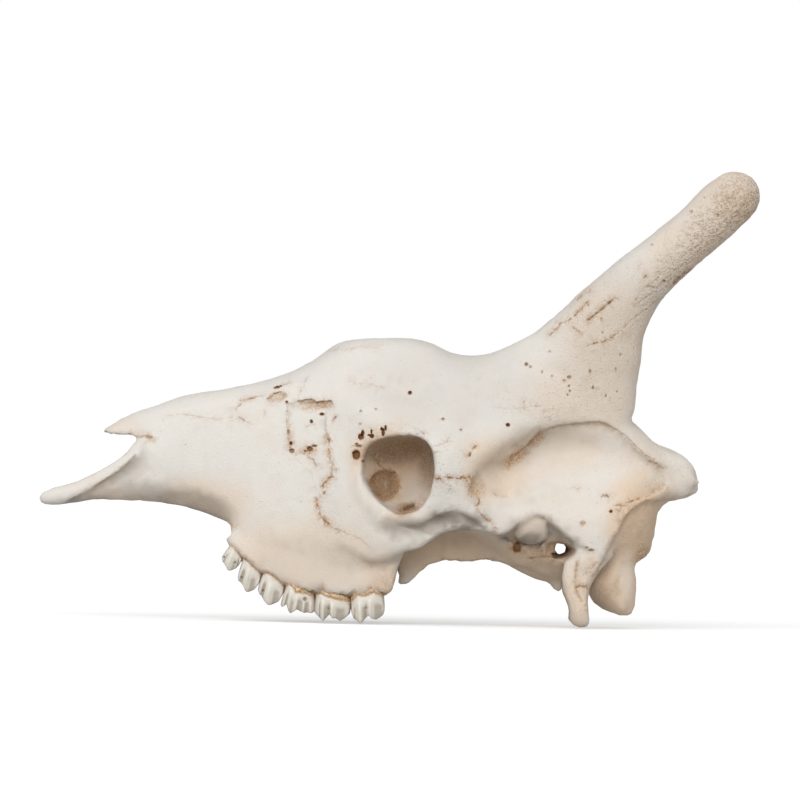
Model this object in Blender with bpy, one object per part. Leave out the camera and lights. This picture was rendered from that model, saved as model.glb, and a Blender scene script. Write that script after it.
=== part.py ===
"""Southern giraffe skull without its lower jaw: a cranium grown as one bone, and twelve upper cheek teeth.

The nose points to -X and the horns to +X, the left side of the skull faces -Y and +Z is up. The skull rests
as it does on a table, on its last cheek teeth and on the two paroccipital processes behind them. Guide lines
and outlines are drawn in millimetres, before the skull is set down: X runs along the length from the middle
of the drawing, Y is the distance out from the middle plane and Z is the height. Each form is made once and
repeated on both sides.
"""

import math

import bmesh
import bpy
import numpy as np
from mathutils import Matrix, Vector

for old in list(bpy.data.objects):
    bpy.data.objects.remove(old, do_unlink=True)

# Driving dimensions
SKULL_LENGTH = 0.717
DRAWN_LENGTH = 717.0
MM = SKULL_LENGTH / DRAWN_LENGTH

# Set down, the skull is turned about Y until its last cheek teeth and paroccipital processes share a level
TOOTH_TIP = (-40.0, 5.0)
PROCESS_TIP = (182.0, 0.0)
SET_DOWN_TURN = -math.atan2(TOOTH_TIP[1] - PROCESS_TIP[1], PROCESS_TIP[0] - TOOTH_TIP[0])
CENTRE_SHIFT = Vector((7.3, 0.0, -3.8)) * MM

# Surface sizes
FORM_VOXEL = 0.0025
FORM_SMOOTHING = 4
EDGE_SMOOTHING = 2
KEEP_SHARE = 0.027
SOCKET_GAP = 0.8
SOCKET_DEPTH = 13.0
ROOT_DEPTH = 7.0

LEFT, RIGHT = -1, 1
BOTH = (LEFT, RIGHT)

# Guide lines from the nose to the back of the head, each along one edge or swelling of the bone, (x, y, z)
ROOF_MIDLINE = [
    (-300, 0, 196), (-280, 0, 208), (-250, 0, 220), (-210, 0, 233), (-170, 0, 239), (-138, 0, 246),
    (-110, 0, 255), (-88, 0, 266), (-68, 0, 280), (-53, 0, 287), (-30, 0, 289), (5, 0, 289),
    (32, 0, 284), (50, 0, 275), (66, 0, 271), (90, 0, 272), (115, 0, 275), (140, 0, 275),
    (165, 0, 265), (192, 0, 243), (220, 0, 215), (240, 0, 199), (255, 0, 183), (272, 0, 177),
    (284, 0, 171), (293, 0, 161), (299, 0, 147),
]
BROW = [
    (-300, 8, 196), (-280, 12, 206), (-250, 16, 218), (-210, 19, 230), (-170, 22, 237),
    (-138, 25, 243), (-110, 27, 250), (-88, 30, 260), (-68, 33, 272), (-53, 36, 279),
    (-30, 39, 282), (5, 42, 282), (32, 44, 277), (50, 44, 269), (70, 44, 266), (90, 44, 271),
    (110, 45, 280), (130, 46, 292), (148, 47, 300), (162, 47, 293), (180, 46, 275), (200, 45, 242),
    (220, 43, 215), (240, 38, 195), (260, 30, 179), (282, 30, 170), (293, 31, 160), (299, 18, 147),
]
VALLEY = [
    (-300, 11, 195), (-280, 17, 202), (-250, 22, 213), (-210, 27, 225), (-170, 31, 232),
    (-138, 34, 237), (-110, 38, 244), (-88, 43, 249), (-68, 50, 253), (-48, 57, 247),
    (-25, 62, 241), (0, 67, 236), (30, 72, 239), (55, 76, 243), (75, 78, 237), (95, 77, 235),
    (119, 75, 245), (151, 76, 259), (178, 72, 255), (202, 62, 230), (220, 54, 211), (238, 48, 190),
    (255, 42, 176), (272, 37, 170), (284, 34, 165), (293, 31, 157), (299, 18, 146),
]
ROOF_EDGE = [
    (-300, 13, 194), (-280, 20, 198), (-250, 28, 207), (-210, 33, 220), (-170, 37, 228),
    (-138, 41, 233), (-110, 45, 236), (-88, 52, 237), (-68, 62, 233), (-50, 74, 224),
    (-30, 90, 212), (0, 107, 198), (25, 116, 191), (45, 119, 181), (58, 117, 172), (70, 112, 164),
    (80, 106, 169), (92, 99, 178), (119, 88, 195), (151, 80, 205), (178, 76, 208), (202, 70, 203),
    (218, 64, 193), (238, 56, 177), (253, 50, 169), (265, 43, 161), (280, 39, 157), (293, 31, 153),
    (299, 18, 145),
]
UPPER_WALL = [
    (-300, 28, 163), (-280, 33, 171), (-250, 36, 187), (-210, 39, 201), (-170, 44, 207),
    (-138, 48, 212), (-110, 54, 215), (-88, 61, 212), (-68, 70, 202), (-50, 82, 191),
    (-30, 95, 183), (0, 111, 178), (25, 119, 171), (45, 121, 165), (60, 118, 159), (70, 112, 157),
    (78, 95, 159), (86, 79, 162), (95, 71, 166), (119, 60, 177), (151, 58, 186), (178, 58, 186),
    (202, 58, 180), (218, 56, 174), (238, 53, 164), (253, 49, 157), (267, 42, 151), (280, 39, 149),
    (293, 31, 148), (299, 18, 143),
]
MID_WALL = [
    (-300, 35, 146), (-280, 39, 158), (-250, 41, 172), (-210, 43, 175), (-170, 49, 172),
    (-138, 57, 167), (-110, 64, 163), (-88, 71, 161), (-68, 79, 159), (-50, 88, 155),
    (-30, 97, 151), (0, 109, 149), (25, 118, 149), (45, 120, 147), (60, 117, 143), (72, 110, 136),
    (82, 101, 130), (95, 96, 128), (108, 88, 129), (126, 76, 135), (151, 67, 140), (178, 68, 139),
    (202, 70, 135), (220, 69, 139), (238, 62, 145), (253, 53, 147), (267, 43, 145), (280, 39, 143),
    (293, 31, 144), (299, 18, 142),
]
CHEEK = [
    (-300, 31, 139), (-280, 34, 145), (-250, 38, 152), (-210, 43, 151), (-175, 50, 140),
    (-160, 54, 129), (-136, 63, 109), (-110, 70, 99), (-80, 77, 95), (-55, 86, 107), (-30, 93, 109),
    (0, 102, 110), (25, 109, 115), (45, 112, 120), (60, 111, 119), (75, 107, 115), (88, 102, 110),
    (100, 98, 106), (119, 93, 115), (145, 86, 113), (170, 82, 107), (200, 79, 101), (214, 77, 106),
    (227, 73, 119), (240, 66, 130), (255, 54, 138), (267, 44, 140), (280, 39, 138), (293, 29, 140),
    (299, 18, 140),
]
LOWER_BORDER = [
    (-300, 28, 131), (-280, 28, 131), (-250, 29, 129), (-210, 35, 125), (-175, 46, 113),
    (-160, 52, 101), (-136, 61, 87), (-110, 69, 76), (-80, 76, 71), (-55, 82, 68), (-35, 86, 67),
    (-15, 88, 71), (2, 92, 76), (17, 97, 79), (30, 101, 87), (45, 104, 98), (62, 105, 102),
    (74, 104, 100), (86, 102, 96), (100, 98, 93), (112, 95, 103), (130, 90, 108), (145, 85, 102),
    (158, 82, 90), (175, 78, 82), (192, 76, 78), (205, 76, 82), (216, 75, 99), (228, 72, 111),
    (240, 65, 124), (255, 53, 132), (267, 43, 136), (280, 38, 134), (293, 26, 137), (299, 18, 139),
]
INNER_BORDER = [
    (-300, 27, 128), (-280, 27, 128), (-250, 27, 125), (-210, 30, 119), (-175, 37, 107),
    (-160, 42, 97), (-136, 50, 81), (-110, 55, 71), (-80, 60, 65), (-55, 63, 61), (-35, 64, 61),
    (-15, 62, 67), (2, 62, 82), (17, 64, 91), (40, 70, 97), (62, 72, 99), (86, 72, 97),
    (100, 72, 90), (130, 70, 82), (158, 66, 78), (180, 62, 76), (205, 58, 75), (222, 55, 79),
    (240, 48, 89), (250, 42, 107), (258, 36, 124), (267, 32, 130), (280, 32, 129), (293, 23, 134),
    (299, 18, 137),
]
PALATE_SIDE = [
    (-300, 14, 128), (-280, 15, 128), (-250, 16, 128), (-210, 18, 120), (-175, 22, 109),
    (-160, 25, 102), (-136, 30, 86), (-110, 34, 76), (-80, 38, 70), (-55, 40, 66), (-35, 42, 65),
    (-15, 41, 69), (2, 40, 95), (20, 38, 103), (40, 38, 103), (62, 36, 97), (90, 31, 79),
    (105, 29, 65), (128, 28, 53), (145, 26, 48), (160, 26, 50), (180, 30, 57), (205, 32, 61),
    (222, 30, 65), (240, 28, 69), (248, 24, 77), (253, 20, 97), (257, 17, 114), (267, 15, 126),
    (280, 19, 127), (293, 18, 132), (299, 18, 136),
]
PALATE_MIDLINE = [
    (-300, 0, 131), (-280, 0, 131), (-250, 0, 132), (-210, 0, 125), (-175, 0, 116), (-160, 0, 110),
    (-136, 0, 95), (-110, 0, 84), (-80, 0, 77), (-55, 0, 73), (-35, 0, 72), (-15, 0, 75),
    (2, 0, 99), (20, 0, 107), (40, 0, 107), (62, 0, 99), (90, 0, 77), (105, 0, 64), (128, 0, 52),
    (145, 0, 46), (160, 0, 49), (180, 0, 54), (205, 0, 56), (222, 0, 60), (240, 0, 64),
    (248, 0, 69), (252, 0, 81), (255, 0, 99), (257, 0, 113), (262, 0, 122), (270, 0, 127),
    (280, 0, 127), (293, 0, 132), (299, 0, 136),
]

HEAD_LINES = (
    ROOF_MIDLINE, BROW, VALLEY, ROOF_EDGE, UPPER_WALL, MID_WALL,
    CHEEK, LOWER_BORDER, INNER_BORDER, PALATE_SIDE, PALATE_MIDLINE,
)
HEAD_STEP = 5.0
# The last section stops just short of the lines' ends, where they nearly meet
HEAD_END = 0.5

# Outlines seen from the side, (x, z)
NASAL_NOTCH = [
    (-312, 194), (-297, 193), (-282, 191.5), (-264, 190.5), (-248, 189.5), (-263, 187.5),
    (-266, 184), (-273, 175), (-284, 166), (-296, 159), (-312, 150),
]
ORBIT_RIM = [
    (1, 192), (26, 186), (34, 166), (32, 143), (25, 126), (3, 113), (-20, 124), (-38, 149),
    (-38, 164), (-33, 181),
]
PTERYGOID = [
    (-12, 88), (-5, 66), (-3, 46), (3, 41), (11, 44), (21, 56), (31, 62), (42, 65), (60, 64),
    (80, 66), (102, 64), (104, 92), (60, 106), (20, 106),
]
PAROCCIPITAL = [
    (172, 84), (163, 62), (161, 42), (164, 30), (170, 16), (168, 7), (174, 1), (188, 1),
    (187, 20), (188, 38), (198, 56), (214, 76), (205, 98), (182, 100),
]
CONDYLE = [
    (188, 46), (188, 31), (197, 21), (212, 14), (230, 11), (234, 20), (234, 60), (218, 72),
    (198, 66),
]
EAR_PIT = [(143, 86), (166, 84), (176, 78), (172, 71), (150, 69)]

# Stations along the tooth ridge: x, height of the gum line, inner and outer side, height of its top
TOOTH_RIDGE = [
    (-168, 84, 33, 56, 104), (-160, 72, 34, 59, 104), (-147, 60, 36, 63, 104), (-135, 53, 38, 67, 104),
    (-121, 47, 40, 71, 102), (-110, 41, 42, 74, 100), (-99, 35.5, 43, 77, 98), (-84, 32, 44, 79, 96),
    (-66, 30, 46, 81, 94), (-51, 29.5, 47, 82, 94), (-30, 31, 48, 83, 94), (-16, 31, 48, 83, 94),
    (-8, 36, 49, 82, 92), (-5, 47, 50, 80, 90), (-2, 60, 52, 78, 88), (4, 72, 55, 76, 88),
]
RIDGE_CORNER = 4.0

# Upper cheek teeth: x and z of the gum line at the tooth, y of its middle, length, width, crown height,
# lean of the crown towards the nose in degrees, and how many cusps show on the cheek side
TEETH = {
    "p2": (-162.6, 76.5, 46, 18.5, 20, 21, 38, 1),
    "p3": (-149.8, 62.5, 49.5, 19, 23, 27, 8, 1),
    "p4": (-129.5, 51.5, 54, 22, 27, 29, 4, 1),
    "m1": (-102, 38.5, 59.5, 33, 31, 24, 2, 2),
    "m2": (-68, 31.5, 63, 35, 33, 24, 0, 2),
    "m3": (-32, 33, 65.5, 34, 32, 28.4, 0, 2),
}
TOOTH_SIDES = 14
ROOT_SHARE = 0.86
NECK_HEIGHT = 1.5
LOBE_WAIST = 0.12
# How far the trough for the teeth reaches past the middles of the end teeth, and below the gum line
SOCKET_ENDS = (9.2, 16.0)
SOCKET_DROP = 12.0


def smooth_values(at, xs, ys):
    """Heights of a smooth line through the points that never swings past them."""
    xs = np.asarray(xs, float)
    ys = np.asarray(ys, float)
    step = np.diff(xs)
    rise = np.diff(ys) / step
    product = rise[:-1] * rise[1:]
    total = np.where(product > 0, rise[:-1] + rise[1:], 1.0)
    slope = np.concatenate(([rise[0]], np.where(product > 0, 2 * product / total, 0.0), [rise[-1]]))
    k = np.clip(np.searchsorted(xs, at) - 1, 0, len(step) - 1)
    t = (np.asarray(at, float) - xs[k]) / step[k]
    return (
        ys[k] * (1 + 2 * t) * (1 - t) ** 2
        + slope[k] * step[k] * t * (1 - t) ** 2
        + ys[k + 1] * t * t * (3 - 2 * t)
        + slope[k + 1] * step[k] * t * t * (t - 1)
    )


def smooth_path(points, per_span, closed=False):
    """Even points on a smooth curve through the points, open or closed."""
    points = np.asarray(points, float)
    if closed:
        padded = np.vstack((points[-1:], points, points[:2]))
    else:
        padded = np.vstack((2 * points[0] - points[1], points, 2 * points[-1] - points[-2]))
    out = []
    for a, b, c, d in zip(padded[:-3], padded[1:-2], padded[2:-1], padded[3:]):
        gaps = [max(np.linalg.norm(q - p), 1e-6) ** 0.5 for p, q in ((a, b), (b, c), (c, d))]
        knots = np.cumsum([0.0] + gaps)
        into = (c - b) / (knots[2] - knots[1])
        start = (b - a) / knots[1] - (c - a) / knots[2] + into
        end = into - (d - b) / (knots[3] - knots[1]) + (d - c) / (knots[3] - knots[2])
        span = knots[2] - knots[1]
        for t in np.arange(per_span) / per_span:
            out.append(
                b * (1 + 2 * t) * (1 - t) ** 2
                + start * span * t * (1 - t) ** 2
                + c * t * t * (3 - 2 * t)
                + end * span * t * t * (t - 1)
            )
    if not closed:
        out.append(points[-1])
    return np.array(out)


class Forms:
    """Closed shells gathered in one mesh. They may run through each other, because a remesh joins them."""

    def __init__(self):
        self.mesh = bmesh.new()

    def loft(self, rings, sides=BOTH):
        """A skin over rings of equal length, capped at both ends, on each of the given sides."""
        for side in sides:
            made = []
            for ring in rings:
                made.append([self.mesh.verts.new((x * MM, side * y * MM, z * MM)) for x, y, z in ring])
            for first, second in zip(made, made[1:]):
                for i in range(len(first)):
                    j = (i + 1) % len(first)
                    self.mesh.faces.new((first[i], first[j], second[j], second[i]))
            self.mesh.faces.new(made[0][::-1])
            self.mesh.faces.new(made[-1])

    def tube(self, stations, around=20, per_span=6, sides=BOTH):
        """A tube with round ends along stations of x, y, z, half its width across and half its height."""
        line = smooth_path(stations, per_span)
        ways = np.gradient(line[:, :3], axis=0)
        rings = []
        for end, (at, way) in enumerate(zip(line, ways)):
            way = way / np.linalg.norm(way)
            sideways = np.array((1.0, 0.0, 0.0) if abs(way[1]) > 0.9 else (0.0, 1.0, 0.0))
            across = sideways - sideways.dot(way) * way
            across = across / np.linalg.norm(across)
            upward = np.cross(way, across)
            outward = {0: -1.0, len(line) - 1: 1.0}.get(end)
            shape = (at[:3], way, across * at[3], upward * at[4])
            if outward is None:
                rings.append(ellipse(*shape, around))
                continue
            cap = []
            for turn in (80, 60, 40, 20, 0):
                shrink = math.cos(math.radians(turn))
                reach = outward * min(at[3], at[4]) * math.sin(math.radians(turn)) * way
                cap.append(ellipse(shape[0] + reach, way, shape[2] * shrink, shape[3] * shrink, around))
            rings.extend(cap if outward < 0 else cap[::-1])
        self.loft(rings, sides)

    def layers(self, outline, layers, per_span=4, sides=BOTH):
        """An outline seen from the side, stacked outward in layers of y, scale, and a shift in x and z."""
        flat = smooth_path(outline, per_span, closed=True)
        middle = flat.mean(axis=0)
        rings = []
        for y, scale, dx, dz in layers:
            moved = middle + (flat - middle) * scale + (dx, dz)
            rings.append([(x, y, z) for x, z in moved])
        self.loft(rings, sides)

    def slab(self, outline, low, high):
        """An outline seen from the side, straight through from one y to the other."""
        self.loft([[(x, y, z) for x, z in outline] for y in (low, high)], sides=(RIGHT,))

    def lump(self, centre, radii, turn=0.0, sides=BOTH):
        """An egg shape, turned in the side view."""
        for side in sides:
            place = Matrix.Translation(Vector((centre[0], side * centre[1], centre[2])) * MM)
            place = place @ Matrix.Rotation(math.radians(turn), 4, "Y")
            place = place @ Matrix.Diagonal((*(Vector(radii) * MM), 1.0))
            bmesh.ops.create_icosphere(self.mesh, subdivisions=3, radius=1.0, matrix=place)

    def finish(self, name):
        """The gathered shells as one named object."""
        bmesh.ops.recalc_face_normals(self.mesh, faces=self.mesh.faces)
        mesh = bpy.data.meshes.new(name)
        self.mesh.to_mesh(mesh)
        self.mesh.free()
        mesh.shade_smooth()
        made = bpy.data.objects.new(name, mesh)
        bpy.context.scene.collection.objects.link(made)
        return made


def ellipse(centre, way, across, upward, around):
    """A ring of points about a centre."""
    turns = np.linspace(0, 2 * math.pi, around, endpoint=False)
    return [centre + across * math.cos(t) + upward * math.sin(t) for t in turns]


def head_section(x, per_span=6):
    """The closed outline of the head across its length at x, from the roof round both sides."""
    half = []
    for line in HEAD_LINES:
        xs, ys, zs = zip(*line)
        half.append((float(smooth_values(x, xs, ys)), float(smooth_values(x, xs, zs))))
    whole = half + [(-y, z) for y, z in half[-2:0:-1]]
    return [(x, y, z) for y, z in smooth_path(whole, per_span, closed=True)]


def head_skin(forms):
    """The face, forehead, cheeks, palate, braincase and back of the head as one skin."""
    start = ROOF_MIDLINE[0][0]
    end = ROOF_MIDLINE[-1][0]
    count = round((end - start) / HEAD_STEP)
    forms.loft([head_section(x) for x in np.linspace(start, end - HEAD_END, count)], sides=(RIGHT,))


def premaxillae(forms):
    """The two slender bones of the nose tip, each a blade twisted along its length."""
    forms.tube([
        (-230, 34, 150, 7, 20), (-262, 32, 151, 7, 21), (-276, 31, 150, 7.5, 22),
        (-296, 29, 144, 8.5, 17), (-309, 27, 139, 9, 13), (-326, 25, 134, 9.5, 11),
        (-344, 23, 131, 10, 10), (-354, 22, 129, 9, 8),
    ])


def tooth_ridges(forms):
    """The thick ridges under the cheeks that hold the teeth."""
    rings = []
    for x, gum, inner, outer, top in TOOTH_RIDGE:
        middle = (gum + top) / 2
        rings.append([
            (x, inner, gum + RIDGE_CORNER), (x, inner + RIDGE_CORNER, gum),
            (x, outer - RIDGE_CORNER, gum), (x, outer, gum + RIDGE_CORNER),
            (x, outer - 3, middle), (x, outer - 8, top), (x, inner + 2, top), (x, inner, middle),
        ])
    forms.loft(rings)


def horns(forms):
    """The two horns (ossicones), flaring into the roof of the skull."""
    forms.tube([
        (165, 44, 218, 32, 66), (176, 45, 246, 33, 64), (184, 46, 264, 34, 58),
        (195, 48, 284, 34, 51), (207, 50, 306, 32, 41), (223, 53, 328, 30, 34),
        (240, 57, 347, 28.5, 29.5), (269, 62, 372.5, 27.5, 26.5), (299, 67, 398, 27, 26.5),
        (319, 70, 417, 27.5, 27), (332, 72, 428.5, 27.5, 27),
    ])


def base_of_skull(forms):
    """The plates and processes under the braincase."""
    forms.layers(PTERYGOID, [(23, 0.96, 0, 0), (25, 1.0, 0, 0), (28, 1.0, 0, 0), (30, 0.96, 0, 0)])
    forms.layers(PAROCCIPITAL, [
        (50, 0.7, 0, 8), (55, 0.97, 0, 0), (60, 1.0, 0, 0), (66, 1.0, 0, 0), (71, 0.97, 0, 0),
        (76, 0.7, 0, 10),
    ])
    forms.layers(CONDYLE, [
        (4, 0.4, 0, 8), (7, 0.72, 0, 5), (13, 0.92, 0, 1), (22, 1.0, 0, 0), (31, 0.98, 0, 0),
        (40, 0.86, -2, 3), (46, 0.64, -4, 6), (50, 0.3, -6, 8),
    ])
    # The knob of the jaw joint, the root of the condyle, the basal tubercle and the ear capsule
    forms.lump((129.5, 83, 97), (16, 13, 12.5))
    forms.lump((220, 30, 74), (15, 20, 22))
    forms.lump((156, 13, 45), (7, 8, 12), turn=-20)
    forms.lump((143, 42, 70), (17, 10, 12))


def bone_forms():
    """Everything the cranium is grown from."""
    forms = Forms()
    head_skin(forms)
    premaxillae(forms)
    tooth_ridges(forms)
    horns(forms)
    base_of_skull(forms)
    return forms.finish("cranium")


def nasal_passage(forms):
    """The open nose: the notch seen from the side, the passage behind it and the slit in the floor."""
    forms.slab(NASAL_NOTCH, -60, 60)
    forms.tube([
        (-320, 0, 168, 17, 26), (-290, 0, 170, 20, 27), (-255, 0, 180, 25, 28),
        (-225, 0, 190, 26, 24), (-200, 0, 196, 20, 18),
    ], sides=(RIGHT,))
    forms.tube([
        (-380, 0, 132, 12, 26), (-330, 0, 132, 11, 26), (-290, 0, 138, 9, 30),
        (-262, 0, 140, 6, 26), (-252, 0, 142, 4, 20),
    ], sides=(RIGHT,))


def orbits(forms):
    """The eye sockets, each with its openings to the temple behind and to the space below."""
    forms.layers(ORBIT_RIM, [
        (150, 1.1, 0, 0), (118, 1.0, 0, 0), (98, 1.0, 1, 0), (84, 1.04, 3, 0), (68, 0.95, 8, -2),
        (54, 0.74, 13, -4), (44, 0.42, 16, -6),
    ])
    forms.tube([(22, 76, 132, 12, 13), (50, 78, 120, 11, 12), (80, 80, 112, 11, 12)])
    forms.tube([(20, 74, 128, 13, 17), (32, 66, 96, 14, 18), (38, 60, 60, 15, 20), (40, 58, 40, 15, 20)])


def temples(forms):
    """The hollows behind the eyes, open below inside the cheek arches."""
    forms.tube([
        (97, 89, 163, 8, 15), (93, 84, 148, 9, 16), (89, 81, 132, 10, 18), (85, 79, 112, 12, 20),
        (79, 77, 85, 14, 24), (74, 75, 50, 15, 24),
    ])


def back_openings(forms):
    """The hole for the spinal cord and the gaps beside the ears that light shows through."""
    forms.tube([
        (262, 0, 48, 17, 17), (232, 0, 62, 17, 16), (205, 0, 76, 15, 13), (190, 0, 82, 9, 8),
    ], sides=(RIGHT,))
    forms.layers(EAR_PIT, [(95, 1.2, 0, 0), (70, 1.0, 0, 0), (50, 0.8, 0, 0), (30, 0.6, 0, 0)])
    forms.tube([
        (160, -40, 79.5, 8, 7.5), (160, 0, 79.5, 8, 7.5), (160, 40, 79.5, 8, 7.5),
    ], sides=(RIGHT,))


def hollow_forms():
    """Everything that is cut out of the cranium before its sockets."""
    forms = Forms()
    nasal_passage(forms)
    orbits(forms)
    temples(forms)
    back_openings(forms)
    return forms.finish("hollows")


def remesh(made, voxel, smoothing):
    """One skin over all the forms, smoothed a little."""
    skin = made.modifiers.new("one skin", "REMESH")
    skin.mode = "VOXEL"
    skin.voxel_size = voxel
    skin.use_smooth_shade = True
    soften = made.modifiers.new("soften", "SMOOTH")
    soften.factor = 0.5
    soften.iterations = smoothing


def subtract(made, cutter, name):
    """Cuts one closed shape out of another and keeps the cutter out of sight."""
    cut = made.modifiers.new(name, "BOOLEAN")
    cut.operation = "DIFFERENCE"
    cut.solver = "EXACT"
    cut.object = cutter
    cutter.hide_render = True
    cutter.display_type = "WIRE"


def tooth_ring(length, width, lobes):
    """The outline of a crown from below, a rounded block waisted between its lobes."""
    ring = []
    for i in range(TOOTH_SIDES):
        turn = 2 * math.pi * (i + 0.5) / TOOTH_SIDES
        c = math.cos(turn)
        s = math.sin(turn)
        along = 0.5 * length * math.copysign(abs(c) ** 0.7, c)
        waist = 1 - LOBE_WAIST * (lobes == 2) * math.exp(-((along / (LOBE_WAIST * length)) ** 2))
        across = 0.5 * width * math.copysign(abs(s) ** 0.7, s) * waist
        ring.append((along, across))
    return ring


def tooth(name, x, z, y, length, width, height, lean, lobes, side):
    """One tooth: a stub of root for its socket and a crown that ends in cusps about a hollow."""
    made = bmesh.new()
    outline = tooth_ring(length, width, lobes)
    levels = [
        (-ROOT_DEPTH, 0.8), (NECK_HEIGHT, ROOT_SHARE), (0.27 * height, 0.97), (0.72 * height, 0.98),
    ]
    rings = [[(a * size, b * size, depth) for a, b in outline] for depth, size in levels]
    tips = []
    floor = []
    for a, b in outline:
        swing = math.cos(2 * math.pi * lobes * a / length + (0 if lobes == 1 else math.pi))
        reach = 0.86 + 0.14 * swing
        tips.append((a * 0.86, b * 0.72, height * reach))
        floor.append((a * 0.5, b * 0.3, height * 0.74))
    rings += [tips, floor]
    rows = [[made.verts.new(Vector(point) * MM) for point in ring] for ring in rings]
    for first, second in zip(rows, rows[1:]):
        for i in range(TOOTH_SIDES):
            j = (i + 1) % TOOTH_SIDES
            made.faces.new((first[i], first[j], second[j], second[i]))
    made.faces.new(rows[0][::-1])
    made.faces.new(rows[-1])
    # The crown points down and leans to the nose
    made.transform(Matrix.Rotation(math.radians(180 + lean), 4, "Y"))
    made.transform(Matrix.Translation(Vector((x, side * y, z)) * MM))
    bmesh.ops.recalc_face_normals(made, faces=made.faces)
    bmesh.ops.triangulate(made, faces=made.faces)
    mesh = bpy.data.meshes.new(name)
    made.to_mesh(mesh)
    made.free()
    mesh.shade_smooth()
    mesh.set_sharp_from_angle(angle=math.radians(50))
    mesh.materials.append(enamel)
    part = bpy.data.objects.new(name, mesh)
    bpy.context.scene.collection.objects.link(part)
    part.parent = set_down
    return part


def sockets():
    """A trough along each tooth ridge, a little wider and deeper than the roots it takes."""
    forms = Forms()
    middles = [(x, z, y, width) for x, z, y, length, width, height, lean, lobes in TEETH.values()]
    line = smooth_path(middles, 4)
    ways = np.gradient(line[:, :2], axis=0)
    ways /= np.linalg.norm(ways, axis=1)[:, None]
    first = np.hstack((line[0, :2] - ways[0] * SOCKET_ENDS[0], line[0, 2:]))
    last = np.hstack((line[-1, :2] + ways[-1] * SOCKET_ENDS[1], line[-1, 2:]))
    line = np.vstack((first, line, last))
    ways = np.vstack((ways[:1], ways, ways[-1:]))
    rings = []
    for (x, z, y, width), (along, climb) in zip(line, ways):
        half = 0.5 * ROOT_SHARE * width + SOCKET_GAP
        corners = ((SOCKET_DEPTH, -half), (SOCKET_DEPTH, half), (-SOCKET_DROP, half), (-SOCKET_DROP, -half))
        rings.append([(x - climb * depth, y + out, z + along * depth) for depth, out in corners])
    forms.loft(rings)
    return forms.finish("sockets")


def plain_material(name, colour, roughness):
    """An even colour with its own shine."""
    made = bpy.data.materials.new(name)
    made.use_nodes = True
    shader = made.node_tree.nodes["Principled BSDF"]
    shader.inputs["Base Color"].default_value = (*colour, 1.0)
    shader.inputs["Roughness"].default_value = roughness
    shader.inputs["Metallic"].default_value = 0.0
    return made


bone = plain_material("bone", (0.72, 0.66, 0.58), 0.7)
enamel = plain_material("enamel", (0.55, 0.48, 0.40), 0.4)

set_down = bpy.data.objects.new("set_down", None)
bpy.context.scene.collection.objects.link(set_down)
set_down.rotation_euler = (0.0, SET_DOWN_TURN, 0.0)
set_down.location = CENTRE_SHIFT

cranium = bone_forms()
hollows = hollow_forms()
trough = sockets()
cranium.data.materials.append(bone)
for made in (cranium, hollows, trough):
    made.parent = set_down
remesh(cranium, FORM_VOXEL, FORM_SMOOTHING)
remesh(hollows, FORM_VOXEL, FORM_SMOOTHING)
subtract(cranium, hollows, "hollows")
remesh(cranium, FORM_VOXEL, EDGE_SMOOTHING)
thin = cranium.modifiers.new("fewer faces", "DECIMATE")
thin.ratio = KEEP_SHARE
subtract(cranium, trough, "sockets")

for side, side_name in ((LEFT, "left"), (RIGHT, "right")):
    for tooth_name, sizes in TEETH.items():
        tooth(f"{side_name}_{tooth_name}", *sizes, side)
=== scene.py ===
# %% [markdown]
# # A southern giraffe skull
#
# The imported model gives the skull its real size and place. This lesson puts the bone itself over it: a fine skin
# grown over the cranium, shaped stroke by stroke, then teeth, cracks, stains, light and camera.

import itertools
import math

import bmesh
import bpy
import numpy as np
from mathutils import Matrix, Vector


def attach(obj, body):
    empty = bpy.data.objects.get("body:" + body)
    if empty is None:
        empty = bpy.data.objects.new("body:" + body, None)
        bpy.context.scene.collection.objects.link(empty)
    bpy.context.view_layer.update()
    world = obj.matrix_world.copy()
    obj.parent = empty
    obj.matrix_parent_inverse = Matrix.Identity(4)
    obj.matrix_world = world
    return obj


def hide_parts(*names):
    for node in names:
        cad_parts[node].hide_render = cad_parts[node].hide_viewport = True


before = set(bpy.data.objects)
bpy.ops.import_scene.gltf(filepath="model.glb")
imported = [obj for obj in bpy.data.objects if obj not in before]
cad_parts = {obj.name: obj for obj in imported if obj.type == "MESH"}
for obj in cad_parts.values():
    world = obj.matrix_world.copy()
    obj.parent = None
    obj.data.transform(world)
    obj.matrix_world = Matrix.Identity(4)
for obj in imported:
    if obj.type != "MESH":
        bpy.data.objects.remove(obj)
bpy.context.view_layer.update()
scene = bpy.context.scene
print("nodes in the frame:", len(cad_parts))

# %% [markdown]
# ## Drawn millimetres
#
# Every line below is drawn in millimetres in the side view, before the skull is set down on its teeth: x along
# the skull, z up, y out from the middle plane. One matrix turns drawn millimetres into the frame's metres.

# %%
SET_DOWN = (
    Matrix.Translation((0.0073, 0.0, -0.0038))
    @ Matrix.Rotation(-math.atan2(5.0, 222.0), 4, "Y")
    @ Matrix.Scale(0.001, 4)
)
LEFT, RIGHT = -1, 1
BOTH = (LEFT, RIGHT)


def mesh_points(mesh):
    """All the points of a mesh as rows of an array."""
    points = np.empty(len(mesh.vertices) * 3, np.float32)
    mesh.vertices.foreach_get("co", points)
    return points.reshape(-1, 3).astype(float)


def mesh_normals(mesh):
    """The normal at each point of a mesh."""
    normals = np.empty(len(mesh.vertices) * 3, np.float32)
    mesh.vertex_normals.foreach_get("vector", normals)
    return normals.reshape(-1, 3).astype(float)


def mesh_edges(mesh):
    """The two points of each edge of a mesh."""
    ends = np.empty(len(mesh.edges) * 2, np.int32)
    mesh.edges.foreach_get("vertices", ends)
    return ends.reshape(-1, 2)


def link(name, mesh):
    """A new object that shows a mesh."""
    made = bpy.data.objects.new(name, mesh)
    scene.collection.objects.link(made)
    return made


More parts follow.
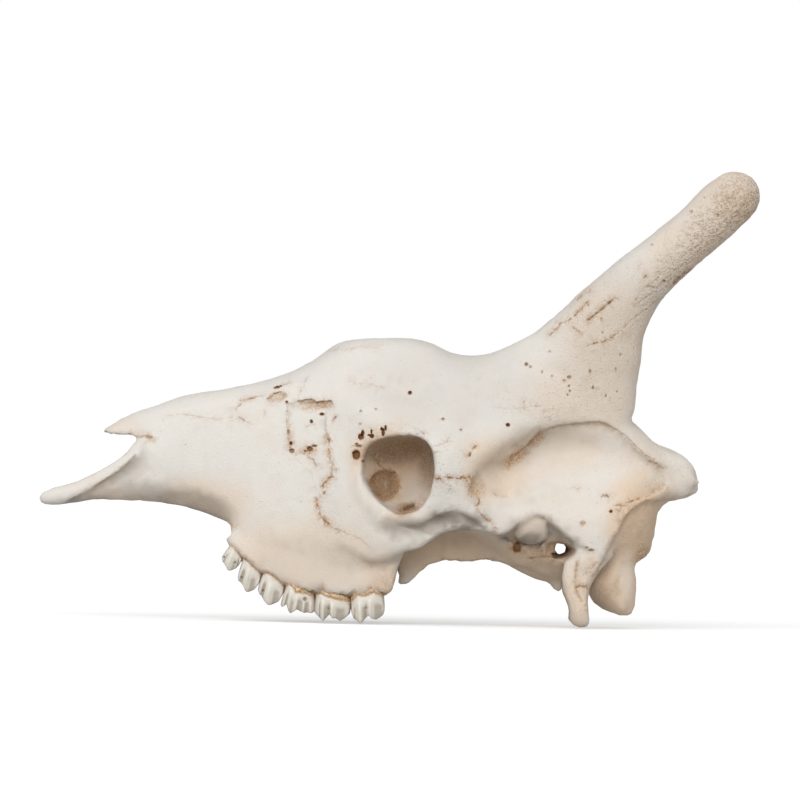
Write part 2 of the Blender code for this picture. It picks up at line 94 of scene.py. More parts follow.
def apply_modifiers(made):
    """Gives an object the mesh that its modifiers make, and takes them off."""
    graph = bpy.context.evaluated_depsgraph_get()
    mesh = bpy.data.meshes.new_from_object(made.evaluated_get(graph))
    mesh.name = made.name
    made.modifiers.clear()
    made.data = mesh


# %% [markdown]
# ## Lines, outlines and noise
#
# The strokes need three things from the side view: a smooth curve through drawn points, how far each place is
# from a line and on which side of it, and whether it lies inside an outline. Noise keeps edges from being even.

# %%
def soft(t):
    """An even rise from 0 to 1 with a soft start and end."""
    t = np.clip(t, 0, 1)
    return t * t * (3 - 2 * t)


def curve(points, closed=False, steps=6):
    """A smooth curve through drawn points."""
    points = np.asarray(points, float)
    if closed:
        padded = np.vstack((points[-1:], points, points[:2]))
    else:
        padded = np.vstack((2 * points[0] - points[1], points, 2 * points[-1] - points[-2]))
    out = []
    for a, b, c, d in zip(padded[:-3], padded[1:-2], padded[2:-1], padded[3:]):
        for t in np.arange(steps) / steps:
            out.append(0.5 * (2 * b + (c - a) * t + (2 * a - 5 * b + 4 * c - d) * t**2 + (3 * b - a - 3 * c + d) * t**3))
    if not closed:
        out.append(points[-1])
    return np.array(out)


def line_distance(at, line, closed=False):
    """How far places are from a line, 1 or -1 for left or right of it, and how far along it, from 0 to 1."""
    line = np.asarray(line, float)
    ends = np.roll(line, -1, axis=0) if closed else line[1:]
    starts = line if closed else line[:-1]
    best = np.full(len(at), np.inf)
    side = np.zeros(len(at))
    along = np.zeros(len(at))
    travelled = 0.0
    for start, end in zip(starts, ends):
        way = end - start
        length = max(math.hypot(*way), 1e-6)
        t = np.clip((at - start) @ way / length**2, 0, 1)
        gap = at - start - t[:, None] * way
        distance = np.hypot(gap[:, 0], gap[:, 1])
        closer = distance < best
        best[closer] = distance[closer]
        side[closer] = np.sign(way[0] * gap[closer, 1] - way[1] * gap[closer, 0])
        along[closer] = travelled + t[closer] * length
        travelled += length
    return best, side, along / travelled


def inside(at, outline):
    """Which places lie inside an outline."""
    within = np.zeros(len(at), bool)
    x, z = at.T
    for (x0, z0), (x1, z1) in zip(outline, np.roll(outline, -1, axis=0)):
        crosses = (z0 > z) != (z1 > z)
        within ^= crosses & (x < (x1 - x0) * (z - z0) / (z1 - z0 + 1e-12) + x0)
    return within


def noise(at, size, seed=0):
    """Smooth chance values from -1 to 1 that change over a distance of size."""
    cell = np.floor(at / size)
    part = soft(at / size - cell)
    cell = cell.astype(np.int64)
    total = np.zeros(len(at))
    for corner in itertools.product((0, 1), repeat=at.shape[1]):
        weight = np.ones(len(at))
        mixed = np.full(len(at), 977 * seed + 1, np.int64)
        for axis, step in enumerate(corner):
            weight *= part[:, axis] if step else 1 - part[:, axis]
            mixed ^= (cell[:, axis] + step) * (73856093, 19349663, 83492791)[axis]
        mixed = ((mixed & 0xFFFFFFFF) ^ ((mixed & 0xFFFFFFFF) >> 13)) * 1274126177 & 0xFFFFFFFF
        mixed = (mixed ^ (mixed >> 16)) * 2654435761 & 0xFFFFFFFF
        total += weight * (mixed / 0x7FFFFFFF - 1)
    return total


# %% [markdown]
# ## Strokes
#
# A stroke works on one layer of the skull, a range of distance from the middle plane, so that a stroke on the
# cheek arch leaves the wall behind it alone. It moves only bone that faces outward.

# %%
def smoothed(values, ends, count, times):
    """Averages values over neighbouring points again and again."""
    degree = np.bincount(ends.ravel(), minlength=count)
    for _ in range(times):
        total = np.empty_like(values)
        for k in range(values.shape[1]):
            total[:, k] = np.bincount(ends[:, 0], values[ends[:, 1], k], count)
            total[:, k] += np.bincount(ends[:, 1], values[ends[:, 0], k], count)
        values = 0.5 * values + 0.5 * total / degree[:, None]
    return values


class Skin:
    """A mesh as arrays of points and normals, shaped by strokes that are drawn in the side view."""

    def __init__(self, mesh):
        self.mesh = mesh
        self.points = mesh_points(mesh)
        self.normals = mesh_normals(mesh)

    def near(self, line, reach, layer, sides, closed=False):
        """The points of a layer within reach of a line, their place beside it,
            and how squarely they face out."""
        line = np.asarray(line, float)
        low = line.min(axis=0) - reach
        high = line.max(axis=0) + reach
        x, y, z = self.points.T
        out = np.abs(y)
        facing = self.normals[:, 1] * np.where(y < 0, LEFT, RIGHT)
        chosen = (x > low[0]) & (x < high[0]) & (z > low[1]) & (z < high[1]) & (facing > 0.03)
        chosen &= (out > layer[0]) & (out < layer[1])
        if len(sides) == 1:
            chosen &= y * sides[0] > 0
        chosen = np.flatnonzero(chosen)
        distance, side, along = line_distance(self.points[chosen][:, [0, 2]], line, closed)
        keep = distance < reach
        return chosen[keep], distance[keep], side[keep], along[keep], soft(facing[chosen[keep]] / 0.3)

    def push(self, chosen, amount):
        """Moves points along their normals."""
        self.points[chosen] += self.normals[chosen] * amount[:, None]

    def carve(self, chosen, amount):
        """Moves points straight in towards the middle plane."""
        self.points[chosen, 1] -= np.sign(self.points[chosen, 1]) * amount

    def ridge(self, line, height, width, layer=(0, 130), sides=BOTH, closed=False):
        """A soft ridge along a line, or a groove where the height is below zero."""
        chosen, distance, side, along, facing = self.near(line, 3 * width, layer, sides, closed)
        ends = 1.0 if closed else soft(np.minimum(along, 1 - along) / 0.12)
        self.push(chosen, height * np.exp(-((distance / width) ** 2)) * facing * ends)

    def ledge(self, line, high, low, crisp, fade, layer=(0, 130), sides=BOTH):
        """A step along a line: bone swells on its left and sinks on its right, and both fade away from it."""
        chosen, distance, side, along, facing = self.near(line, 2.4 * fade, layer, sides)
        step = np.tanh(distance / crisp) * np.exp(-((distance / fade) ** 2)) * facing
        step *= soft(np.minimum(along, 1 - along) / 0.1)
        self.push(chosen, np.where(side > 0, high, -low) * step)

    def hollow(self, outline, depth, edge, layer=(0, 130), sides=BOTH, ragged=0.0):
        """Sinks the bone inside an outline, with a wall as wide as edge and as ragged as asked."""
        chosen, distance, side, along, facing = self.near(outline, 30.0, layer, sides, closed=True)
        at = self.points[chosen][:, [0, 2]]
        within = np.where(inside(at, np.asarray(outline, float)), distance, -distance)
        if ragged:
            within = within + ragged * (noise(at, 2.5, 3) + 0.6 * noise(at, 1.2, 4))
        self.carve(chosen, depth * soft(within / edge) * facing)

    def holes(self, spots, layer=(0, 130), sides=BOTH):
        """Small round holes: x and z of each, its half width and half height, and its depth."""
        for x, z, across, up, depth in spots:
            chosen, *rest, facing = self.near([(x, z), (x, z + 0.01)], 1.5 * max(across, up), layer, sides)
            at = self.points[chosen][:, [0, 2]]
            reach = np.hypot((at[:, 0] - x) / across, (at[:, 1] - z) / up)
            self.carve(chosen, depth * soft((1.15 - reach) / 0.6) * facing)

    def relax(self, centre, radius, times, layer=(0, 130), sides=BOTH):
        """Smooths the skin in a soft round patch."""
        chosen, distance, *rest = self.near([centre, np.add(centre, 0.01)], radius, layer, sides)
        fade = soft((1 - distance / radius) / 0.4)[:, None]
        ends = mesh_edges(self.mesh)
        blend = smoothed(self.points, ends, len(self.points), times)[chosen]
        self.points[chosen] += (blend - self.points[chosen]) * fade

    def roughen(self, amount, size, centre=None, radius=None, layer=(0, 130), sides=BOTH, seed=1):
        """Uneven bone, all over or in a soft round patch."""
        if centre is None:
            self.points += self.normals * (amount * noise(self.points, size, seed))[:, None]
            return
        chosen, distance, *rest, facing = self.near([centre, np.add(centre, 0.01)], radius, layer, sides)
        fade = soft(1 - distance / radius) * facing
        self.push(chosen, amount * fade * noise(self.points[chosen], size, seed))

    def update(self):
        """Gives the mesh its new shape."""
        self.mesh.vertices.foreach_set("co", self.points.astype(np.float32).ravel())
        self.mesh.update()
        self.normals = mesh_normals(self.mesh)


# %% [markdown]
# ## A fine skin over the cranium
#
# The cranium is copied, its seams are merged and its faces rounded. A few slender forms that the plain solid
# leaves out are added, the tooth troughs are filled, and one even skin of small faces is grown over everything.

# %%
SKIN = 1.25


def skin_over(made, size, smoothing):
    """Remeshes an object to an even grid of small faces, a little smoothed."""
    skin = made.modifiers.new("skin", "REMESH")
    skin.mode = "VOXEL"
    skin.voxel_size = size
    soften = made.modifiers.new("soften", "SMOOTH")
    soften.factor = 0.5
    soften.iterations = smoothing
    apply_modifiers(made)


def add_taper(made, points, radii, flat=1.0):
    """A closed tapering rod through points, on both sides of the skull."""
    for side in BOTH:
        rings = []
        line = [Vector((x, side * y, z)) for x, y, z in points]
        for i, (at, radius) in enumerate(zip(line, radii)):
            way = (line[min(i + 1, len(line) - 1)] - line[max(i - 1, 0)]).normalized()
            across = Vector((0, 1, 0))
            across = (across - across.dot(way) * way).normalized()
            up = way.cross(across)
            ring = []
            for turn in np.linspace(0, 2 * math.pi, 12, endpoint=False):
                ring.append(made.verts.new(at + across * (math.cos(turn) * radius * flat) + up * math.sin(turn) * radius))
            rings.append(ring)
        faces = [made.faces.new(rings[0][::-1]), made.faces.new(rings[-1])]
        for first, second in zip(rings, rings[1:]):
            for i in range(12):
                j = (i + 1) % 12
                faces.append(made.faces.new((first[i], first[j], second[j], second[i])))
        bmesh.ops.recalc_face_normals(made, faces=faces)


# The bone behind the eye slopes down to the temple: z, then y at the foot, the rise, where it starts and its width
TEMPLE_SLOPE = [
    (187, 55, 30, 95, 40), (175, 62, 34, 86, 44), (163, 64, 46, 68, 42), (151, 72, 41, 62, 46),
    (139, 77, 35, 62, 50), (127, 80, 28, 62, 50),
]


def add_slope(made, table):
    """A block on both sides of the skull whose outer face falls in a soft slope from front to back."""
    across = np.linspace(62, 130, 24)
    down = np.linspace(table[0][0], table[-1][0], 21)
    known = np.array(table, float)[::-1]
    for side in BOTH:
        outer, inner = [], []
        for z in down:
            foot, rise, start, width = (np.interp(z, known[:, 0], known[:, k]) for k in range(1, 5))
            face = foot + rise * (1 - soft((across - start) / width)) - 5 * soft((across - 113) / 15)
            outer.append([made.verts.new((x, side * y, z)) for x, y in zip(across, face)])
            inner.append([made.verts.new((x, side * 50, z)) for x in across])
        faces = []
        for grid in (outer, inner):
            for low, high in zip(grid, grid[1:]):
                for i in range(len(across) - 1):
                    faces.append(made.faces.new((low[i], low[i + 1], high[i + 1], high[i])))
        for i in range(len(across) - 1):
            for out, back in ((outer[0], inner[0]), (outer[-1], inner[-1])):
                faces.append(made.faces.new((out[i], out[i + 1], back[i + 1], back[i])))
        for j in range(len(down) - 1):
            for i in (0, -1):
                faces.append(made.faces.new((outer[j][i], outer[j + 1][i], inner[j + 1][i], inner[j][i])))
        bmesh.ops.recalc_face_normals(made, faces=faces)


merged = bmesh.new()
merged.from_mesh(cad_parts["cranium"].data)
bmesh.ops.remove_doubles(merged, verts=merged.verts, dist=1e-6)
merged.transform(SET_DOWN.inverted())
start = bpy.data.meshes.new("start")
merged.to_mesh(start)
merged.free()
cranium = link("skull", start)
rounding = cranium.modifiers.new("rounding", "SUBSURF")
rounding.levels = 2
apply_modifiers(cranium)
skin_over(cranium, SKIN, 4)

extra = bmesh.new()
extra.from_mesh(cranium.data)
# The spike in front of the ear hole, the hooks behind the palate, the corners of the nuchal crest
add_taper(extra, [(148, 50, 92), (150, 52, 84), (152.5, 53, 78), (154, 53.5, 74.5)], [7, 5, 3.4, 1.4])
add_taper(extra, [(6, 26, 62), (2, 26, 52), (0.5, 27, 46), (2, 28, 43)], [6, 4.5, 3.2, 1.5], flat=0.6)
add_taper(extra, [(258, 31, 156), (276, 31, 151.5), (288, 31, 148),
    (297.6, 30, 143.2)], [11, 11, 7.5, 2.2], flat=0.75)
add_slope(extra, TEMPLE_SLOPE)
# Bone between the roots of the teeth fills the troughs
add_taper(
    extra,
    [(-168, 44, 92), (-160, 46, 82), (-148, 49.5, 70.5), (-130, 54, 60), (-102, 59.5, 47.5), (-68, 63, 41),
     (-32, 65.5, 41), (-14, 66, 42)],
    [7, 9.5, 10, 10.5, 11, 11, 11, 10],
    flat=1.35,
)
extra.to_mesh(cranium.data)
extra.free()
skin_over(cranium, SKIN, 2)
print("points in the skin:", len(cranium.data.vertices))

# %% [markdown]
# ## Shaping the bone
#
# Ledges, ridges and hollows, from the temple forward to the nose.

# %%
TEMPLE = (44, 112)
ARCH = (68, 128)
skin = Skin(cranium.data)

TEMPLE_EDGE = curve([(107, 158), (111, 169), (121, 176), (129, 183.5), (139, 194.5), (150, 199.5),
    (167, 202.8), (198, 204.7), (211, 199.6), (224, 191), (240, 175), (256, 163.5), (266, 154),
    (264, 142), (250, 132), (234, 122), (222, 108), (213, 90), (204, 72)])
TEMPLE_LIP = curve([(70, 130), (67, 140), (72, 151), (82, 162), (97, 173.5), (116, 186), (132, 197.5),
    (146, 204)])
CREST = curve([(190, 47), (200, 64), (209.5, 83), (218.5, 99.5), (226, 113), (240, 125), (252, 128)])
ARCH_BORDER = curve([(-1, 77), (17, 79), (27, 86), (41, 97), (60, 103), (73, 101.4), (84, 97.5), (96, 91.5)])
JOINT_BORDER = curve([(98, 91), (103, 93.5), (108, 96.5), (116.5, 104.6), (126, 111.5), (136, 114.5),
    (145, 112.5), (151, 106), (162, 96.5), (175, 86.5), (188, 78.5), (198, 77)])
skin.relax((90, 145), 26, 12, (62, 112))
skin.relax((131, 167), 20, 40, (50, 100))
skin.relax((131, 143), 20, 40, (50, 100))
skin.ledge(TEMPLE_EDGE, 1.3, 3.0, 1.4, 12, TEMPLE)
skin.ledge(TEMPLE_LIP, 0.8, 3.0, 4.0, 15, TEMPLE)
skin.ledge(CREST, 1.5, 4.5, 1.3, 15, (40, 100))
skin.ledge(curve([(242, 128), (256, 127.5), (268, 128.5), (280, 129.5),
    (291, 134.5)]), 1.0, 3.5, 1.2, 8, (12, 80))
skin.ridge(curve([(78, 128), (92, 128.5), (106, 128), (124, 131), (141, 135.5), (157, 141)]), 1.5, 3.5, ARCH)
skin.hollow([(97, 90), (103, 93), (108.5, 96.5), (117, 104.2), (126, 110.5), (136, 113.2), (144, 111.5),
    (150, 105), (161, 96), (174, 86), (170, 78), (148, 75), (114, 78), (100, 85)], 9.0, 2.2, (70, 115))
skin.hollow([(-14, 108.5), (-4, 106), (7, 105), (16.5, 106), (24, 107.5), (32, 111.5), (40, 115.5),
    (48, 118), (60, 116.5), (73, 109.5), (85, 100), (93, 93), (80, 97.5), (66, 103), (53, 102.5),
    (41, 96), (30, 92), (18, 97), (0, 101)], 7.0, 2.6, ARCH)
skin.ledge(curve([(78, 130), (72, 132), (69, 139), (71, 148), (78, 157)]), 0.5, 2.0, 1.6, 6, TEMPLE)
skin.roughen(0.9, 2.4, (118, 174), 14, TEMPLE, seed=12)
skin.roughen(0.8, 2.4, (138, 190), 12, TEMPLE, seed=13)
skin.ledge(ARCH_BORDER, 1.0, 3.0, 1.2, 6, ARCH)
skin.ledge(JOINT_BORDER, 1.2, 1.5, 1.2, 6, (66, 115))
skin.update()

# %%
KNOB = curve([(113.5, 96), (117, 104.5), (125, 110), (137, 110.5), (144.5, 106.5), (147, 97), (143, 89),
    (131, 85), (118, 89)], closed=True)
chosen, distance, side, along, facing = skin.near(KNOB, 20, (55, 112), BOTH, closed=True)
within = np.where(inside(skin.points[chosen][:, [0, 2]], KNOB), distance, 0)
dome = np.sqrt(np.clip(1 - (1 - np.minimum(within, 11.0) / 11.0) ** 2, 0, 1))
skin.push(chosen, 6.5 * dome * facing)
skin.ridge(curve([(116, 94), (121, 88.5), (130, 86), (140, 88)]), 1.2, 1.6, (60, 110))
skin.ledge(curve([(119, 91), (128, 95), (140, 93.5)]), 0.8, 1.4, 1.5, 6, (60, 110))

# %%
ORBIT = curve([(-35, 180.5), (-23, 185), (-10, 190), (4, 191), (17, 190.5), (25, 186.5), (31, 180),
    (33.5, 169), (33.7, 159), (32, 144), (29.5, 133), (24, 124.4), (16.5, 117.5), (5, 113), (-5, 112.7),
    (-14.5, 115), (-23.5, 120.5), (-31, 127.5), (-37, 137), (-38.5, 149), (-38, 161),
    (-37.5, 172)], closed=True)
skin.ridge(curve([(-42, 157), (-41.5, 142), (-37, 130), (-29, 121), (-18, 112.5), (-4, 108.5), (8, 109),
    (20, 114), (29, 122.5), (35, 133)]), 1.6, 3.2, (75, 128))
skin.ridge(curve([(37, 141), (39, 157), (37, 173), (30, 186), (18, 194), (2, 195.5)]), 0.8, 3.5, (75, 128))
skin.ridge(curve([(-39.5, 150), (-38.5, 137), (-32.5, 125), (-25, 117), (-15, 111), (-4, 108), (7, 108),
    (19, 112), (28, 119)]), 0.7, 1.2, (75, 128))
skin.ledge(curve([(-28, 108), (-16, 104), (0, 101.5), (16, 102.5), (28, 108), (40, 113.5), (49, 116.5),
    (60, 116.5), (72, 111), (84, 101), (93, 94)]), 1.5, 2.0, 2.5, 9, ARCH)
skin.ledge(curve([(-64, 86), (-50, 79), (-40, 73), (-30, 67.5), (-16, 66.5), (-2, 72),
    (8, 79)]), 1.7, 2.0, 2.6, 10, (60, 115))
skin.ledge(curve([(-144, 91), (-120, 87), (-95, 83.5), (-70, 82), (-48, 79)]), 0.5, 0.9, 5.0, 12, (50, 110))
skin.roughen(0.8, 3.0, (-28, 71), 22, (60, 120))
skin.ledge(curve([(-48, 246), (-26, 240.5), (-1, 234.5), (20, 236), (38, 243),
    (56, 253)]), 0.9, 0.9, 4.0, 14, (30, 100))
NOSE_TURN = curve([(-338, 123.6), (-321, 132.5), (-300, 144.5), (-280, 157.5), (-267, 170)])
skin.ledge(NOSE_TURN, 0.8, 2.4, 1.0, 8, (12, 48))
skin.ridge(curve([(-252, 143), (-235, 142), (-218, 139), (-204, 135)]), 0.9, 3.0, (20, 60))
skin.ridge(curve([(-240, 127), (-215, 127), (-195, 123), (-178, 114), (-168, 105)]), -1.2, 5.0, (20, 60))

# %% [markdown]
# The roots of the teeth swell the bone above the gum line. The paroccipital process is a smooth column in front
# of a rough plate, and the condyle has two faces that meet in an edge.

# %%
for x, z, height in ((-150, 84, 16), (-130, 75, 22), (-110, 62, 26), (-94, 58, 28), (-77, 54, 30),
    (-60, 52, 30), (-42, 53, 28), (-25, 54, 24)):
    skin.ridge([(x - 2, z - 14), (x, z), (x + 3, z + height)], 0.4, 4.5, (50, 110))
skin.ridge(curve([(166, 71), (165, 55), (167, 42), (171, 29), (176, 17), (178, 5)]), 1.8, 4.5, (40, 90))
skin.ridge(curve([(177, 71), (175.5, 57), (174.5, 45), (176, 35), (181, 25)]), -2.2, 1.8, (40, 95))
skin.roughen(1.1, 2.6, (190, 61), 16, (40, 95))
skin.ledge(curve([(229, 14), (219, 29), (213, 41), (217, 55), (219, 71)]), 2.2, 2.4, 1.5, 11, (8, 62))
skin.ridge(curve([(190, 61), (197, 67), (206, 70), (213, 67)]), 0.9, 2.5, (8, 62))
skin.ridge(curve([(220, 69), (219, 52), (219.5, 35), (225, 16)]), 1.4, 2.4, (8, 66))
skin.roughen(0.9, 2.6, (244, 75), 12, (5, 80))
skin.hollow(curve([(111, 82), (113, 87), (117, 88.5), (121, 86), (122.5, 80), (120, 74), (115.5, 72.5),
    (112, 76)], closed=True), 5.0, 2.5, (15, 75))
skin.ridge(curve([(113, 72), (130, 68), (148, 70), (160, 71)]), -1.2, 2.0, (5, 60))
skin.ledge(curve([(110, 65), (130, 58), (148, 51), (162, 44)]), 1.4, 1.8, 1.6, 7, (2, 60))
skin.ridge(curve([(20, 82), (36, 91), (52, 93), (70, 87), (90, 78)]), 1.4, 3.0, (15, 66))
skin.roughen(0.6, 22.0, seed=5)
skin.roughen(0.35, 8.0, seed=6)
skin.roughen(0.8, 4.0, (262, 149), 42, (5, 90))
skin.roughen(0.8, 5.0, (238, 97), 42, (0, 76), seed=17)
skin.roughen(0.5, 2.6, (50, 149), 30, (80, 128), seed=18)
skin.roughen(1.2, 3.0, (178, 7), 13, (40, 95), seed=19)
skin.roughen(0.7, 5.0, (45, 72), 60, (15, 66), seed=20)
skin.roughen(0.6, 3.0, (255, 342), 44, (20, 130), seed=21)
skin.update()
skin_over(cranium, SKIN, 1)

# %% [markdown]
# ## Broken and open places
#
# The bone in front of the left eye socket has fallen in and left a square recess with open slots, and the wall
# inside the socket has a ragged hollow.

# %%
skin = Skin(cranium.data)
skin.hollow([(-113, 224), (-100, 226), (-67, 226), (-72, 215), (-73.5, 205), (-72, 195), (-74, 181),
    (-84, 183), (-95, 175), (-104, 170), (-110, 177), (-112.5, 197)], 1.7, 1.2, (30, 100), (LEFT,), 0.5)
skin.hollow([(-104, 227), (-95, 227), (-89.5, 228.2), (-83, 225), (-71, 226.5), (-67, 225.5),
    (-69.5, 219), (-84.3, 219), (-94, 219.5), (-99, 222)], 2.4, 0.9, (20, 100), (LEFT,), 0.5)
skin.hollow([(-124.5, 235), (-117, 236), (-112.5, 231), (-116, 228), (-118, 224), (-132, 224),
    (-132.5, 228), (-128, 233)], 2.2, 1.6, (20, 100), (LEFT,), 0.7)
SOCKET_HOLLOW = curve([(-32, 146.5), (-29.4, 150), (-23.3, 155), (-17, 157.3), (-6.5, 156.5),
    (-0.5, 150), (-0.5, 140.5), (-3.5, 133), (-11, 127), (-17, 126), (-22, 130), (-26, 134.5),
    (-30, 139)], closed=True)
skin.hollow(SOCKET_HOLLOW, 4.5, 2.2, (25, 105), (LEFT,), 2.6)
skin.roughen(0.9, 2.6, (-15, 141), 17, (25, 105), (LEFT,), seed=15)
skin.hollow(SOCKET_HOLLOW, 3.0, 6.0, (25, 105), (RIGHT,))
skin.hollow(curve([(-5.7, 113), (-1, 118.3), (5, 122), (15, 125), (25, 124.8), (20.5, 119),
    (12.5, 115)], closed=True), 12.0, 2.6, (25, 110))
skin.ledge(curve([(-32, 177), (-29, 174), (-25, 172), (-22, 167), (-17, 164)]), 1.0, 1.6, 0.9, 4, (40, 112))
skin.roughen(0.7, 1.8, (-26, 171), 9, (40, 112))
for line in ([(-16, 116), (-12, 127), (-9, 137)], [(-9, 115), (-6, 127), (-4, 135)], [(-12.5, 115),
    (-9, 127), (-6.5, 136)]):
    skin.ridge(curve(line), 0.5, 1.0, (30, 105))
GUM = curve([(-169, 82), (-164, 78), (-157, 70), (-153, 68), (-146, 61), (-137, 54), (-132, 55.5),
    (-126, 52), (-121, 47.5), (-114, 41), (-110, 43.5), (-107, 42), (-104, 37), (-100, 35.5), (-92, 35),
    (-84, 32), (-80, 35.5), (-75, 33), (-66, 30), (-59, 28.5), (-50, 27), (-46, 30), (-42, 33.5),
    (-36, 32), (-30, 34), (-25, 36.5), (-16, 31), (-9, 34.5)])
skin.ledge(GUM, 0.3, 3.6, 0.8, 5.0, (40, 110))
skin.roughen(0.6, 2.6, (-15, 45), 18, (55, 110), seed=14)
skin.roughen(0.45, 5.0, (335, 422), 60, (40, 120), seed=8)
skin.roughen(0.5, 3.0, (185, 277), 45, (20, 110), seed=9)
skin.roughen(0.25, 2.4, seed=10)
skin.update()

# %% [markdown]
# ## Cracks, sutures and small holes
#
# The sutures run on both sides; the cracks and chips are damage on the left side alone. The skin is thinned out
# everywhere but along them and in porous bone, and split there, so that each one is a real groove.
#
# Each row is a line, its half width, its depth, how dark it is, how much it zigzags, and the layer it lies on.

# %%
HEAD = (10, 130)
SUTURES = [
    ([(-71.6, 192.7), (-70.2, 176.6), (-71, 170), (-67.6, 164.6), (-67, 158), (-67.6, 152.5),
        (-71.6, 148.5), (-76.3, 142), (-75, 135.1), (-81.6, 130), (-83, 123), (-79, 115),
        (-77.6, 109)], 0.55, 0.6, 0.95, 1.0, HEAD),
    ([(-77.6, 109), (-75, 106.5), (-72, 104)], 1.3, 1.6, 1.0, 0.3, HEAD),
    ([(-72, 104), (-65.3, 99.3), (-55.5, 95), (-40, 89.5), (-30.2, 81)], 0.4, 0.3, 0.3, 0.7, HEAD),
    ([(-67, 158), (-63, 157), (-66, 163)], 0.4, 0.3, 0.5, 0.6, HEAD),
    ([(-233.6, 211.3), (-219.3, 213), (-201.4, 210.4), (-183.6, 207.7),
        (-167.5, 209.5)], 0.5, 0.35, 0.18, 0.4, HEAD),
    ([(-71, 275.5), (-59, 278), (-38.3, 280.5), (-18, 279)], 0.6, 0.3, 0.25, 0.6, (0, 60)),
    ([(35, 149.5), (42, 148.5), (50, 150.5), (58, 149), (66, 150.5),
        (70, 149.5)], 0.65, 0.8, 1.0, 1.3, (80, 130)),
    ([(78.3, 129.4), (79, 125), (75, 121.1), (77, 117.3), (88.5, 106.5), (96, 99.5),
        (98.7, 97)], 0.55, 0.8, 0.85, 0.4, (66, 130)),
    ([(-49.5, 247), (-42.8, 243.6), (-28, 242.5), (-16, 239)], 0.8, 0.3, 0.2, 0.3, HEAD),
    ([(-112, 194), (-109, 177), (-101, 165), (-88, 153), (-84, 137)], 0.5, 0.2, 0.10, 0.6, HEAD),
    ([(-262.5, 190), (-256, 190.6), (-248, 190.4)], 1.1, 1.6, 0.8, 0.2, (8, 60)),
    ([(-265.5, 171), (-273, 164), (-284, 155), (-300, 143)], 0.5, 0.4, 0.15, 0.3, (12, 60)),
    ([(158, 70.5), (145, 71), (130, 69.5)], 0.7, 0.5, 0.6, 0.3, (3, 60)),
    ([(248, 166), (256, 162.7), (263, 157.2), (266, 151), (265, 144),
        (260, 138)], 0.9, 0.5, 0.4, 0.2, TEMPLE),
    ([(175.5, 66), (175, 55.6), (173.5, 45.4), (175.5, 35.2), (180.6, 27)], 0.6, 0.6, 0.35, 0.2, (40, 95)),
    ([(107, 158), (111, 169), (121, 176), (129, 183.5), (139, 194.5), (150, 199.5), (167, 202.8),
        (198, 204.7), (211, 199.6), (224, 191), (240, 175), (256, 163.5), (265, 156), (266.5, 148),
        (261, 140), (253, 135), (245, 130)], 0.9, 0.8, 0.22, 0.25, TEMPLE),
]
